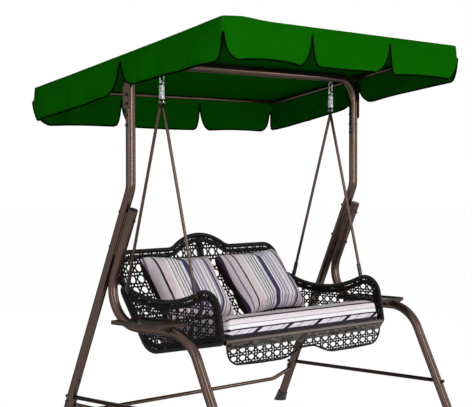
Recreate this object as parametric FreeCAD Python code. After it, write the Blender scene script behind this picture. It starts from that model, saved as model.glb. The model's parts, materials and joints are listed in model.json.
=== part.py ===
"""Canopy swing bench: a tube frame, a tilting fabric canopy and a woven two-seat bench hung on springs.

Millimetres. X runs along the bench (right is +X), Y runs to the rear, Z is up, and the floor is Z = 0.
While it is modelled the top beam lies over Y = 0; write_parts() then slides the whole assembly along Y,
so that the origin ends up under the middle of its box.
"""
import FreeCAD, Part
import math
import os

V = FreeCAD.Vector

# --- main tubes -------------------------------------------------------------
TUBE_D = 42.0
TUBE_WALL = 1.5
SPIGOT_CLEARANCE = 0.3
THIN_TUBE_D = 19.0
THIN_TUBE_WALL = 1.5

# --- frame ------------------------------------------------------------------
FRAME_HALF_WIDTH = 743.0        # middle plane of each side frame
BEAM_Z = 1682.0                 # axis of the top beam
BEAM_BEND_R = 110.0
SEAM_Z = 1390.0                 # beam end meets upright
SEAM_SPIGOT = 85.0
UPRIGHT_BEND_Z = 1150.0
UPRIGHT_BEND_R = 120.0
REAR_FOOT_Y = 498.5
LEG_SEAM = 62.0                 # along the rear leg, below the upright's bend
LEG_SPIGOT = 270.0
LEG_SPACING = 50.0              # rear leg axis to front leg axis
LEG_BOLTS_AT = (120.0, 285.0)   # along the rear leg, below the upright's bend
FRONT_LEG_TOP = 80.0            # same measure
FRONT_RUN_Z = 563.5             # level stretch of the front leg
FRONT_KNEE_Y = -353.0
FRONT_FOOT_Y = -622.0
FRONT_KNEE_R = 180.0
FRONT_SWEEP_R = 155.0
LOWER_LEG_Z = 280.0             # seam of the lower rear leg
LOWER_SPIGOT = 70.0

# --- feet, stretchers and cross bar -----------------------------------------
FOOT_SOLE = 8.0
FOOT_HEIGHT = 48.0
FOOT_TOP_R = 25.0
FOOT_BOTTOM_R = 33.0
STRETCHER_Z = 217.0
STRETCHER_PLUG = 26.0
CROSS_BAR_Z = 139.0
CROSS_BAR_END_Z = 197.0
CROSS_BAR_RISE_RUN = 147.0      # each raised end, measured in from the leg
CROSS_BAR_PLATE = 5.0

# --- fasteners --------------------------------------------------------------
BOLT_D = 8.0
SMALL_BOLT_D = 6.0
HOLE_CLEARANCE = 0.4
SEAT_GAP = 0.3                  # left between parts of different moving groups
FIT = 0.1                       # between a cup or notch and the tube in it
FAR = 4000.0                    # half the side of a block that cuts everything on one side of a plane

# --- side trays -------------------------------------------------------------
TRAY_HALF_WIDTH = 86.0
TRAY_FRONT_Y = -258.0
TRAY_REAR_Y = 40.0
TRAY_SHEET = 1.5
TRAY_RIM_UP = 9.0
TRAY_RIM_DOWN = 7.0
TRAY_BOLTS_Y = (-165.0, -75.0)

# --- canopy -----------------------------------------------------------------
PIVOT_RISE = 7.0                # pivot above the top beam's axis
CANOPY_TILT = 10.2              # degrees, front edge up
CANOPY_SIDE_CLEARANCE = 0.4    # side valance to canopy arm
CANOPY_FRONT = 607.0            # along the slope, from the pivot
CANOPY_REAR = 618.0
CANOPY_BEAM_GAP = 5.2           # between top beam and fabric
CLOTH = 3.0
VALANCE = 166.0
FLAP_BAND = 28.0
FLAP_GAP = 15.0
FLAP_CORNER_R = 48.0
CANOPY_TUBE_D = 18.0
CANOPY_TUBE_WALL = 1.2
RAIL_SEAM_X = 230.0
BRACKET_PLATE = 4.0
BRACKET_WIDTH = 40.0
BRACKET_DROP = 196.0            # bracket foot below the top beam's axis
BRACKET_BOLTS_DROP = (176.0, 138.0)
KNOB_R = 16.0
KNOB_THICK = 20.0
HUB_PLATE = 8.0
HUB_R = 13.0

# --- hangers ----------------------------------------------------------------
HANGER_X = 565.0
EYE_DROP = 21.7                 # link pivot below the top beam
WIRE_D = 6.0
EYE_R = 12.0
LINK_HEIGHT = 32.3
LINK_WIDTH = 22.0
SPRING_WIRE_D = 5.0
SPRING_D = 26.0
SPRING_HOOK_R = 11.0
APEX_DROP = 119.3               # pin that carries both rods, below the link pivot
ROD_D = 14.0
ROD_TAB = 4.0
ROD_TAB_R = 12.0
ROD_START = 27.0
ROD_STOP = 22.0
FRONT_ROD_Y = -200.0
REAR_ROD_Y = 240.0

# --- bench ------------------------------------------------------------------
ARM_X = 540.0                   # middle plane of each arm
RIM_D = 22.0
PANEL = 8.0
SEAT_FRONT_Y = -345.0
SEAT_FRONT_Z = 505.0
SEAT_RAIL_D = 25.0
DECK_ANGLE = 10.2               # degrees, rear lower
DECK_LENGTH = 411.0
DECK_LIFT = 8.5
BACK_BEND_R = 90.0
BACK_ANGLE = 56.0               # degrees from level, lower back
BACK_LOW = 240.0
BACK_CURVE_R = 350.0
BACK_TOP_ANGLE = 78.0
BACK_SHOULDER_Z = 851.0         # rim axis
BACK_HUMP_Z = 913.0             # rim axis
BACK_CORNER_R = 94.0
HUMP_R = 290.0
HUMP_FLARE_R = 90.0
ARM_DIP_Y = 35.0
ARM_DIP_Z = 650.0
ARM_DIP_R = 571.0
KNUCKLE_R = 84.0
KNUCKLE_Z = 626.0
ARM_LEVEL_END = 20.0            # the rim runs level behind the rear rod by this much
APRON_INSET = 18.0              # apron end to arm plane
APRON_BOTTOM_Z = 398.0
APRON_NOTCH_Z = 437.0
APRON_NOTCH_HALF = 40.0         # level middle of the notch
APRON_LOBE_FROM = 150.0         # middle plane to where each lobe runs level
APRON_LOBE_TO = 320.0           # middle plane to where the lower edge starts to rise
APRON_CORNER_RISE = 7.0         # rise of the lower edge from there to the corner
APRON_SIDE_LEAN = 12.0          # how far each side comes in from top to corner
APRON_CORNER_R = 76.0
CROSS_TUBES_AT = (150.0, 290.0)  # along the deck, from the front rail

# --- cushions ---------------------------------------------------------------
CUSHION_SIDE_GAP = 13.0         # cushion to arm rim
CUSHION_THICK = 94.0
CUSHION_FRONT = -12.0           # along the deck
CUSHION_REAR_OVER = 21.0        # past the rear of the deck
CUSHION_TOP_REAR_OVER = 81.0
PILLOW_HEIGHT = 326.0
PILLOW_THICK = 112.0
PILLOW_EDGE = 30.0
PILLOW_ANGLE = 51.5
PILLOW_FOOT_FROM_DECK = (48.5, 129.8)   # Y and Z from the deck's rear end to a pillow's lower edge
PILLOW_SIDE_GAP = {"left": 89.0, "right": 45.0}   # pillow to cushion end
PILLOW_MIDDLE_GAP = 83.0

SIDES = (("left", -1.0), ("right", 1.0))
X_AXIS = V(1, 0, 0)
Y_AXIS = V(0, 1, 0)
Z_AXIS = V(0, 0, 1)
parts = {}


def rad(degrees):
    return math.radians(degrees)


# --- small geometry helpers -------------------------------------------------
def cylinder(start, end, radius):
    axis = end - start
    return Part.makeCylinder(radius, axis.Length, start, axis)


def pipe(start, end, outer_d, wall):
    return cylinder(start, end, outer_d / 2).cut(cylinder(start, end, outer_d / 2 - wall))


def rounded_wire(points, radii, closed=False):
    """A wire of straight runs with a tangent arc at each corner; radii has one entry per point."""
    count = len(points)
    edges = []
    run_start = None
    first_start = None
    corners = range(count) if closed else range(1, count - 1)
    if not closed:
        run_start = points[0]
    for i in corners:
        before, corner, after = points[i - 1], points[i], points[(i + 1) % count]
        a = (before - corner).normalize()
        b = (after - corner).normalize()
        turn = math.pi - a.getAngle(b)
        reach = radii[i] * math.tan(turn / 2)
        p, q = corner + a * reach, corner + b * reach
        middle = corner + (a + b).normalize() * (radii[i] / math.cos(turn / 2) - radii[i])
        if run_start is None:
            first_start = p
        elif (p - run_start).Length > 1e-6:
            edges.append(Part.LineSegment(run_start, p).toShape())
        if radii[i] > 0:
            edges.append(Part.Arc(p, middle, q).toShape())
        run_start = q
    last = first_start if closed else points[-1]
    if (last - run_start).Length > 1e-6:
        edges.append(Part.LineSegment(run_start, last).toShape())
    return Part.Wire(edges)


def sweep(wire, radius):
    """A round bar along a wire."""
    edge = wire.OrderedEdges[0]
    start = edge.valueAt(edge.FirstParameter)
    direction = edge.tangentAt(edge.FirstParameter)
    if edge.Orientation == "Reversed":
        start = edge.valueAt(edge.LastParameter)
        direction = edge.tangentAt(edge.LastParameter) * -1
    profile = Part.Wire(Part.makeCircle(radius, start, direction))
    return wire.makePipeShell([profile], True, False)


def tube(wire, outer_d, wall):
    return sweep(wire, outer_d / 2).cut(sweep(wire, outer_d / 2 - wall))


def slab(wire, direction):
    """A plate: a flat closed wire pushed along a direction."""
    return Part.Face(wire).extrude(direction)


def ring(centre, axis, major, minor):
    return Part.makeTorus(major, minor, centre, axis)


def bolt(head_face, direction, grip, diameter, head_d=None):
    """A hex bolt and its nut; the head lies against head_face, the nut after the grip."""
    head_d = head_d or diameter * 1.9
    head = hexagon(head_face - direction * diameter * 0.65, direction, head_d, diameter * 0.65)
    shank_end = head_face + direction * (grip + diameter * 1.2)
    screw = head.fuse(cylinder(head_face - direction, shank_end, diameter / 2)).removeSplitter()
    nut_face = head_face + direction * grip
    nut = hexagon(nut_face, direction, head_d, diameter * 0.8)
    nut = nut.cut(cylinder(nut_face - direction, nut_face + direction * diameter * 2, diameter / 2))
    return [screw, nut]


def hexagon(base, direction, across, height):
    side = direction.cross(Z_AXIS)
    if side.Length < 0.5:
        side = direction.cross(X_AXIS)
    side.normalize()
    other = direction.cross(side).normalize()
    points = []
    for i in range(6):
        angle = i * math.pi / 3
        points.append(base + side * (across / 2 * math.cos(angle)) + other * (across / 2 * math.sin(angle)))
    return slab(Part.makePolygon(points + [points[0]]), direction * height)


def hole(shape, start, end, diameter):
    return shape.cut(cylinder(start, end, (diameter + HOLE_CLEARANCE) / 2))


def add(name, solids):
    parts[name] = solids if isinstance(solids, list) else [solids]


# --- places worked out from the driving dimensions --------------------------
LEG_LEAN = math.atan2(REAR_FOOT_Y, UPRIGHT_BEND_Z)
SHIN_SLOPE = (FRONT_FOOT_Y - FRONT_KNEE_Y) / FRONT_RUN_Z
FRAME_INNER = FRAME_HALF_WIDTH - TUBE_D / 2
FRAME_OUTER = FRAME_HALF_WIDTH + TUBE_D / 2
RUN_TOP_Z = FRONT_RUN_Z + TUBE_D / 2
SPIGOT_D = TUBE_D - 2 * TUBE_WALL - 2 * SPIGOT_CLEARANCE
TUBE_R = TUBE_D / 2
PIVOT_Z = BEAM_Z + PIVOT_RISE
# the middle of the fabric above the pivot, square to the slope
CANOPY_RISE = TUBE_R - PIVOT_RISE + CANOPY_BEAM_GAP + CLOTH / 2
SWING_Z = BEAM_Z - TUBE_R - EYE_DROP
APEX_Z = SWING_Z - APEX_DROP
BRACKET_BOLTS_Z = tuple(BEAM_Z - drop for drop in BRACKET_BOLTS_DROP)
CROSS_BAR_FLAT_HALF = FRAME_HALF_WIDTH - CROSS_BAR_RISE_RUN
APRON_HALF_WIDTH = ARM_X - APRON_INSET
CUSHION_HALF_WIDTH = ARM_X - RIM_D / 2 - CUSHION_SIDE_GAP
CUSHION_REAR = DECK_LENGTH + CUSHION_REAR_OVER
CUSHION_TOP_REAR = DECK_LENGTH + CUSHION_TOP_REAR_OVER
PILLOW_WIDTH = CUSHION_HALF_WIDTH - (sum(PILLOW_SIDE_GAP.values()) + PILLOW_MIDDLE_GAP) / 2
RIM_R = RIM_D / 2
LEG_SLOPE = REAR_FOOT_Y / UPRIGHT_BEND_Z
HUB_INNER_X = FRAME_OUTER + BRACKET_PLATE + SEAT_GAP
CANOPY_ARM_OUTER = HUB_INNER_X + CANOPY_TUBE_D
CANOPY_HALF_WIDTH = CANOPY_ARM_OUTER + CANOPY_SIDE_CLEARANCE + CLOTH


def leg_direction():
    return V(0, math.sin(LEG_LEAN), -math.cos(LEG_LEAN))


def leg_front():
    """Square to the rear leg, towards the front leg."""
    return V(0, -math.cos(LEG_LEAN), -math.sin(LEG_LEAN))


def on_leg(x, along, forward=0.0):
    return V(x, 0, UPRIGHT_BEND_Z) + leg_direction() * along + leg_front() * forward


def leg_at_height(z):
    return (UPRIGHT_BEND_Z - z) / math.cos(LEG_LEAN)


def front_leg_corner(x):
    """Where the front leg's slanted top meets its level run."""
    top = on_leg(x, 0, LEG_SPACING)
    return top + leg_direction() * ((top.z - FRONT_RUN_Z) / math.cos(LEG_LEAN))


def shin_y(z):
    return FRONT_KNEE_Y + SHIN_SLOPE * (FRONT_RUN_Z - z)


def on_canopy(x, along, above=0.0):
    """A point in the canopy's own slope: along runs to the rear, above is square to the fabric."""
    tilt = rad(CANOPY_TILT)
    y = along * math.cos(tilt) + above * math.sin(tilt)
    z = PIVOT_Z - along * math.sin(tilt) + above * math.cos(tilt)
    return V(x, y, z)


def on_deck(x, along, above=0.0):
    angle = rad(DECK_ANGLE)
    y = SEAT_FRONT_Y + along * math.cos(angle) + above * math.sin(angle)
    z = SEAT_FRONT_Z - along * math.sin(angle) + above * math.cos(angle)
    return V(x, y, z)


# --- frame ------------------------------------------------------------------
def swaged_end(start, direction, length):
    """The narrowed end of a tube that plugs into the next one, with its shoulder."""
    shoulder = start - direction * 2 * TUBE_WALL
    bore_wall = (SPIGOT_D - (TUBE_D - 5 * TUBE_WALL)) / 2
    neck = pipe(shoulder, start + direction * length, SPIGOT_D, bore_wall)
    collar = pipe(shoulder, start, TUBE_D, (TUBE_D - SPIGOT_D) / 2 + bore_wall)
    return collar.fuse(neck)


def make_top_beam():
    x = FRAME_HALF_WIDTH
    points = [V(-x, 0, SEAM_Z), V(-x, 0, BEAM_Z), V(x, 0, BEAM_Z), V(x, 0, SEAM_Z)]
    beam = tube(rounded_wire(points, [0, BEAM_BEND_R, BEAM_BEND_R, 0]), TUBE_D, TUBE_WALL)
    for name, side in SIDES:
        for z in upright_bolt_heights() + BRACKET_BOLTS_Z:
            beam = hole(beam, V(side * (x - 40), 0, z), V(side * (x + 40), 0, z), BOLT_D)
    add("top_beam", beam)


def upright_bolt_heights():
    return (SEAM_Z + 25.0, SEAM_Z + 67.0)


def make_upright(name, side):
    x = side * FRAME_HALF_WIDTH
    path = rounded_wire([V(x, 0, SEAM_Z), V(x, 0, UPRIGHT_BEND_Z), on_leg(x, LEG_SEAM)],
                        [0, min(UPRIGHT_BEND_R, LEG_SEAM / math.tan(LEG_LEAN / 2)), 0])
    shape = tube(path, TUBE_D, TUBE_WALL)
    shape = shape.fuse(swaged_end(V(x, 0, SEAM_Z), Z_AXIS, SEAM_SPIGOT))
    shape = shape.fuse(swaged_end(on_leg(x, LEG_SEAM), leg_direction(), LEG_SPIGOT))
    for z in upright_bolt_heights():
        shape = hole(shape, V(x - 40, 0, z), V(x + 40, 0, z), BOLT_D)
    for along in LEG_BOLTS_AT:
        shape = hole(shape, on_leg(x, along, -40), on_leg(x, along, 40), BOLT_D)
    add("upright_" + name, shape)


def make_rear_leg(name, side):
    x = side * FRAME_HALF_WIDTH
    shape = pipe(on_leg(x, LEG_SEAM), on_leg(x, leg_at_height(LOWER_LEG_Z)), TUBE_D, TUBE_WALL)
    for along in LEG_BOLTS_AT:
        shape = hole(shape, on_leg(x, along, -40), on_leg(x, along, 40), BOLT_D)
    along = lower_screw_along()
    shape = hole(shape, on_leg(x, along, -40), on_leg(x, along, 40), SMALL_BOLT_D)
    add("rear_leg_" + name, shape)


def lower_screw_along():
    return leg_at_height(LOWER_LEG_Z) - LOWER_SPIGOT * 0.35


def make_lower_leg(name, side):
    x = side * FRAME_HALF_WIDTH
    seam = leg_at_height(LOWER_LEG_Z)
    shape = pipe(on_leg(x, seam), on_leg(x, leg_at_height(-60.0)), TUBE_D, TUBE_WALL)
    shape = shape.fuse(swaged_end(on_leg(x, seam), leg_direction() * -1, LOWER_SPIGOT))
    shape = above_floor(shape, FOOT_SOLE)
    along = lower_screw_along()
    shape = hole(shape, on_leg(x, along, -40), on_leg(x, along, 40), SMALL_BOLT_D)
    y = LEG_SLOPE * (UPRIGHT_BEND_Z - STRETCHER_Z)
    shape = hole(shape, V(x, y - 60, STRETCHER_Z), V(x, y + 60, STRETCHER_Z), BOLT_D)
    y = LEG_SLOPE * (UPRIGHT_BEND_Z - CROSS_BAR_END_Z)
    shape = hole(shape, V(x - 40, y, CROSS_BAR_END_Z), V(x + 40, y, CROSS_BAR_END_Z), BOLT_D)
    add("rear_leg_lower_" + name, shape)


def front_leg_wire(x):
    foot_below = -60.0
    corner = front_leg_corner(x)
    points = [on_leg(x, FRONT_LEG_TOP, LEG_SPACING), corner, V(x, FRONT_KNEE_Y, FRONT_RUN_Z),
              V(x, shin_y(foot_below), foot_below)]
    return rounded_wire(points, [0, FRONT_SWEEP_R, FRONT_KNEE_R, 0])


def make_front_leg(name, side):
    x = side * FRAME_HALF_WIDTH
    shape = above_floor(tube(front_leg_wire(x), TUBE_D, TUBE_WALL), FOOT_SOLE)
    for along in LEG_BOLTS_AT:
        shape = hole(shape, on_leg(x, along, 10), on_leg(x, along, 90), BOLT_D)
    for y in TRAY_BOLTS_Y:
        shape = hole(shape, V(x, y, FRONT_RUN_Z - 40), V(x, y, FRONT_RUN_Z + 40), SMALL_BOLT_D)
    y = shin_y(STRETCHER_Z)
    shape = hole(shape, V(x, y - 60, STRETCHER_Z), V(x, y + 60, STRETCHER_Z), BOLT_D)
    add("front_leg_" + name, shape)


def above_floor(shape, height):
    below = Part.makeBox(2 * FAR, 2 * FAR, FAR, V(-FAR, -FAR, height - FAR))
    return shape.cut(below)


def make_leg_spacers():
    """Flat bars between each rear leg and the front leg beside it."""
    thick = LEG_SPACING - TUBE_D
    spacers = []
    for name, side in SIDES:
        x = side * FRAME_HALF_WIDTH
        start = on_leg(x, LEG_BOLTS_AT[0] - 18, TUBE_R)
        length = LEG_BOLTS_AT[1] - LEG_BOLTS_AT[0] + 36
        half = V(9, 0, 0)
        corners = [start - half, start + half, start + half + leg_direction() * length,
                   start - half + leg_direction() * length]
        bar = slab(Part.makePolygon(corners + [corners[0]]), leg_front() * thick)
        for along in LEG_BOLTS_AT:
            bar = hole(bar, on_leg(x, along, 0), on_leg(x, along, LEG_SPACING), BOLT_D)
        spacers.append(bar)
    add("leg_spacers", spacers)


def make_leg_caps():
    caps = []
    for name, side in SIDES:
        x = side * FRAME_HALF_WIDTH
        top = on_leg(x, FRONT_LEG_TOP, LEG_SPACING)
        up = leg_direction() * -1
        plug_r = TUBE_R - TUBE_WALL - 0.2
        disc = cylinder(top, top + up * 4, TUBE_R)
        caps.append(disc.fuse(cylinder(top - up * 18, top, plug_r)).removeSplitter())
    add("front_leg_caps", caps)


def make_foot_cap(name, x, toe, heading):
    """A flared rubber cup on a tube whose axis passes through toe at floor level along heading."""
    up = heading
    lean = 1 / up.z
    base = toe - up * (60.0 * lean)
    length = FOOT_HEIGHT * lean + 60.0 * lean
    cone = Part.makeCone(FOOT_BOTTOM_R + 3.0, FOOT_TOP_R, length, base, up)
    socket = cylinder(toe - up * 100, toe + up * 200, TUBE_R + FIT)
    cup = above_floor(cone, 0.0).cut(above_floor(socket, FOOT_SOLE))
    add("foot_cap_" + name, cup)


def make_feet():
    for name, side in SIDES:
        x = side * FRAME_HALF_WIDTH
        make_foot_cap("rear_" + name, x, V(x, REAR_FOOT_Y, 0), leg_direction() * -1)
        shin = V(0, -SHIN_SLOPE, 1).normalize()
        make_foot_cap("front_" + name, x, V(x, shin_y(0), 0), shin)


def make_stretcher(name, side):
    x = side * FRAME_HALF_WIDTH
    rear = V(x, LEG_SLOPE * (UPRIGHT_BEND_Z - STRETCHER_Z), STRETCHER_Z)
    front = V(x, shin_y(STRETCHER_Z), STRETCHER_Z)
    bar = pipe(front, rear, THIN_TUBE_D, THIN_TUBE_WALL)
    ends = TUBE_R / math.cos(LEG_LEAN) + STRETCHER_PLUG
    for end, way in ((rear, -1), (front, 1)):
        plug = cylinder(end, end + V(0, way * ends, 0), THIN_TUBE_D / 2 - 0.1)
        bar = bar.fuse(plug)
    for a, b in ((on_leg(x, 0), on_leg(x, leg_at_height(0))), (V(x, shin_y(0), 0), V(x, shin_y(500), 500))):
        bar = bar.cut(cylinder(a, b, TUBE_R + FIT))
    for end, way in ((rear, -1), (front, 1)):
        bar = hole(bar, end, end + V(0, way * (ends + 30), 0), BOLT_D)
    add("side_stretcher_" + name, bar)


def make_cross_bar():
    y = LEG_SLOPE * (UPRIGHT_BEND_Z - CROSS_BAR_END_Z)
    plate_x = FRAME_INNER - CROSS_BAR_PLATE
    meet_z = CROSS_BAR_END_Z - 21.0
    points = [V(-plate_x, y, meet_z), V(-CROSS_BAR_FLAT_HALF, y, CROSS_BAR_Z),
              V(CROSS_BAR_FLAT_HALF, y, CROSS_BAR_Z), V(plate_x, y, meet_z)]
    bar = tube(rounded_wire(points, [0, 140, 140, 0]), THIN_TUBE_D, THIN_TUBE_WALL)
    for name, side in SIDES:
        inner = V(side * plate_x, y, CROSS_BAR_END_Z)
        outline = [V(inner.x, y - 11, meet_z - 11), V(inner.x, y + 11, meet_z - 11),
                   V(inner.x, y + 11, CROSS_BAR_END_Z + 14), V(inner.x, y - 11, CROSS_BAR_END_Z + 14)]
        plate = slab(rounded_wire(outline, [5, 5, 10, 10], closed=True), V(side * CROSS_BAR_PLATE, 0, 0))
        bar = bar.fuse(hole(plate, inner - V(side * 5, 0, 0), inner + V(side * 20, 0, 0), BOLT_D))
    add("rear_cross_bar", bar)


def make_tray(name, side):
    """A shallow pan bolted on the level run of the front leg, notched where the leg rises through it."""
    x = side * FRAME_HALF_WIDTH
    low, high = RUN_TOP_Z - TRAY_RIM_DOWN, RUN_TOP_Z + TRAY_RIM_UP
    half, t = TRAY_HALF_WIDTH, TRAY_SHEET

    def block(inset, z0, z1):
        corners = [V(x - half + inset, TRAY_FRONT_Y + inset, z0), V(x + half - inset, TRAY_FRONT_Y + inset, z0),
                   V(x + half - inset, TRAY_REAR_Y - inset, z0), V(x - half + inset, TRAY_REAR_Y - inset, z0)]
        return slab(rounded_wire(corners, [14 - inset] * 4, closed=True), V(0, 0, z1 - z0))

    pan = block(0, low, high).cut(block(t, RUN_TOP_Z + t, high + 1)).cut(block(t, low - 1, RUN_TOP_Z))
    sweep_start = front_sweep_start_y(x)
    notch_half = TUBE_R + 3.0
    notch = Part.makeBox(2 * notch_half, TRAY_REAR_Y - sweep_start + 20, 60,
                         V(x - notch_half, sweep_start - 3, low - 20))
    gusset_y = TRAY_FRONT_Y + t
    gusset = slab(Part.makePolygon([V(x - half + 16, gusset_y, low + 1), V(x + half - 16, gusset_y, low + 1),
                                    V(x, gusset_y, FRONT_RUN_Z - 12), V(x - half + 16, gusset_y, low + 1)]),
                  V(0, 3.0, 0))
    web = Part.makeBox(2 * half - 32, 3.0, RUN_TOP_Z - low, V(x - half + 16, gusset_y, low))
    pan = pan.cut(notch).fuse(gusset).fuse(web)
    pan = pan.cut(sweep(front_leg_wire(x), TUBE_R + FIT))
    for y in TRAY_BOLTS_Y:
        pan = hole(pan, V(x, y, low), V(x, y, high), SMALL_BOLT_D)
    add("tray_" + name, pan)


def front_sweep_start_y(x):
    """Where the front leg leaves its level run and starts to rise."""
    corner = front_leg_corner(x)
    turn = math.pi / 2 + LEG_LEAN
    return corner.y - FRONT_SWEEP_R * math.tan(turn / 2)


def make_frame_bolts():
    uprights, legs, rails, trays = [], [], [], []
    for name, side in SIDES:
        x = side * FRAME_HALF_WIDTH
        inward = V(-side, 0, 0)
        for z in upright_bolt_heights():
            uprights += bolt(V(side * FRAME_OUTER, 0, z), inward, TUBE_D, BOLT_D)
        for z in BRACKET_BOLTS_Z:
            face = V(side * (FRAME_OUTER + BRACKET_PLATE), 0, z)
            uprights += bolt(face, inward, TUBE_D + BRACKET_PLATE, BOLT_D)
        for along in LEG_BOLTS_AT:
            face = on_leg(x, along, LEG_SPACING + TUBE_R)
            legs += bolt(face, leg_front() * -1, LEG_SPACING + TUBE_D, BOLT_D)
        legs += bolt(on_leg(x, lower_screw_along(), -TUBE_R), leg_front(), TUBE_D, SMALL_BOLT_D)
        y = LEG_SLOPE * (UPRIGHT_BEND_Z - CROSS_BAR_END_Z)
        rails += bolt(V(side * FRAME_OUTER, y, CROSS_BAR_END_Z), inward, TUBE_D + CROSS_BAR_PLATE, BOLT_D)
        rails += stretcher_screws(x)
        for y in TRAY_BOLTS_Y:
            grip = TUBE_D + TRAY_SHEET
            trays += bolt(V(x, y, RUN_TOP_Z + TRAY_SHEET), V(0, 0, -1), grip, SMALL_BOLT_D)
    add("upright_bolts", uprights)
    add("leg_bolts", legs)
    add("stretcher_bolts", rails)
    add("tray_bolts", trays)


def stretcher_screws(x):
    """Cap-headed screws that run level through each leg into a stretcher's plugged end."""
    screws = []
    head_r, head_h = 8.0, 9.0
    rear_y = LEG_SLOPE * (UPRIGHT_BEND_Z - STRETCHER_Z)
    for y, way, slope, lean in ((rear_y, 1, LEG_SLOPE, LEG_LEAN),
                                (shin_y(STRETCHER_Z), -1, -SHIN_SLOPE, math.atan(-SHIN_SLOPE))):
        seat = y + way * (TUBE_R / math.cos(lean) + head_r * slope)
        screw = cylinder(V(x, seat, STRETCHER_Z), V(x, seat + way * head_h, STRETCHER_Z), head_r)
        tip = y - way * (TUBE_R / math.cos(lean) + STRETCHER_PLUG - 2)
        shank = cylinder(V(x, tip, STRETCHER_Z), V(x, seat + way, STRETCHER_Z), BOLT_D / 2)
        dome = Part.makeSphere(head_r, V(x, seat + way * (head_h - 3), STRETCHER_Z))
        screws.append(screw.fuse(shank).fuse(dome).removeSplitter())
    return screws


# --- canopy -----------------------------------------------------------------
def make_brackets():
    for name, side in SIDES:
        x = side * FRAME_OUTER
        tip_r = 14.0
        half = BRACKET_WIDTH / 2
        outline = [V(x, -half, (BEAM_Z - BRACKET_DROP)), V(x, half, (BEAM_Z - BRACKET_DROP)), V(x, half, PIVOT_Z - 60),
                   V(x, tip_r, PIVOT_Z + tip_r), V(x, -tip_r, PIVOT_Z + tip_r), V(x, -half, PIVOT_Z - 60)]
        plate = slab(rounded_wire(outline, [10, 10, 30, 10, 10, 30], closed=True),
                     V(side * BRACKET_PLATE, 0, 0))
        for z in BRACKET_BOLTS_Z:
            plate = hole(plate, V(x - 10, 0, z), V(x + 10, 0, z), BOLT_D)
        plate = hole(plate, V(x - 10, 0, PIVOT_Z), V(x + 10, 0, PIVOT_Z), BOLT_D)
        add("canopy_bracket_" + name, plate)


def make_knobs():
    """A lobed hand knob inside each bracket, on the stud that the canopy arm turns on."""
    for name, side in SIDES:
        face = V(side * (FRAME_OUTER - SEAT_GAP), 0, PIVOT_Z)
        back = face - V(side * KNOB_THICK, 0, 0)
        core_r = KNOB_R * 0.72
        knob = cylinder(face, back, core_r)
        lobes = 6
        for i in range(lobes):
            angle = 2 * math.pi * i / lobes
            lobe_r = KNOB_R * 0.3
            shift = V(0, math.cos(angle), math.sin(angle)) * (KNOB_R - lobe_r)
            knob = knob.fuse(cylinder(face + shift - V(side * 5, 0, 0), back + shift, lobe_r))
        stud_end = V(side * (HUB_INNER_X + HUB_PLATE + SEAT_GAP), 0, PIVOT_Z)
        knob = knob.fuse(cylinder(face, stud_end + V(side * 2, 0, 0), BOLT_D / 2 - 0.1))
        knob = knob.fuse(cylinder(stud_end, stud_end + V(side * 4, 0, 0), BOLT_D * 0.9))
        add("canopy_knob_" + name, knob.removeSplitter())


def valance_inner_y(where):
    """Inner face of the front or rear valance."""
    under = CANOPY_RISE - CLOTH / 2
    if where == "front":
        return on_canopy(0, -CANOPY_FRONT, under).y + CLOTH
    return on_canopy(0, CANOPY_REAR, under).y - CLOTH


def rail_place(where):
    """Along and above, in the canopy's slope, of the axis of the front or rear rail."""
    reach = CANOPY_TUBE_D / 2 + SEAT_GAP
    above = CANOPY_RISE - CLOTH / 2 - reach
    y = valance_inner_y(where) + (reach if where == "front" else -reach)
    tilt = rad(CANOPY_TILT)
    return (y - above * math.sin(tilt)) / math.cos(tilt), above


def make_canopy_frame():
    arm_x = CANOPY_ARM_OUTER - CANOPY_TUBE_D / 2
    for name, side in SIDES:
        x = side * arm_x
        front, rail_up = rail_place("front")
        rear, _ = rail_place("rear")
        bar = pipe(on_canopy(x, front), on_canopy(x, rear), CANOPY_TUBE_D, CANOPY_TUBE_WALL)
        for along in (front, rear):
            ends = on_canopy(-CANOPY_HALF_WIDTH, along, rail_up), on_canopy(CANOPY_HALF_WIDTH, along, rail_up)
            rail = cylinder(*ends, CANOPY_TUBE_D / 2)
            bar = bar.cut(rail)
        half = 24.0
        middle = cylinder(on_canopy(x, -half), on_canopy(x, half), CANOPY_TUBE_D)
        inner = side * HUB_INNER_X
        hub = hub_outline(inner, half + 12)
        hub = slab(hub, V(side * HUB_PLATE, 0, 0))
        bar = bar.cut(middle).fuse(hub)
        bar = hole(bar, V(inner - side * 5, 0, PIVOT_Z), V(inner + side * 30, 0, PIVOT_Z), BOLT_D)
        add("canopy_arm_" + name, bar)
    for where in ("front", "rear"):
        add("canopy_%s_rail" % where, canopy_rail(where, CANOPY_ARM_OUTER - 1))


def hub_outline(x, half):
    """The flattened middle of a canopy arm: a bar with a round boss about the pivot."""
    width = CANOPY_TUBE_D / 2 - 1
    points = [on_canopy(x, -half, -width), on_canopy(x, -HUB_R, -HUB_R), on_canopy(x, HUB_R, -HUB_R),
              on_canopy(x, half, -width), on_canopy(x, half, width), on_canopy(x, HUB_R, HUB_R),
              on_canopy(x, -HUB_R, HUB_R), on_canopy(x, -half, width)]
    return rounded_wire(points, [1, 6, 6, 1, 1, 6, 6, 1], closed=True)


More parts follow.
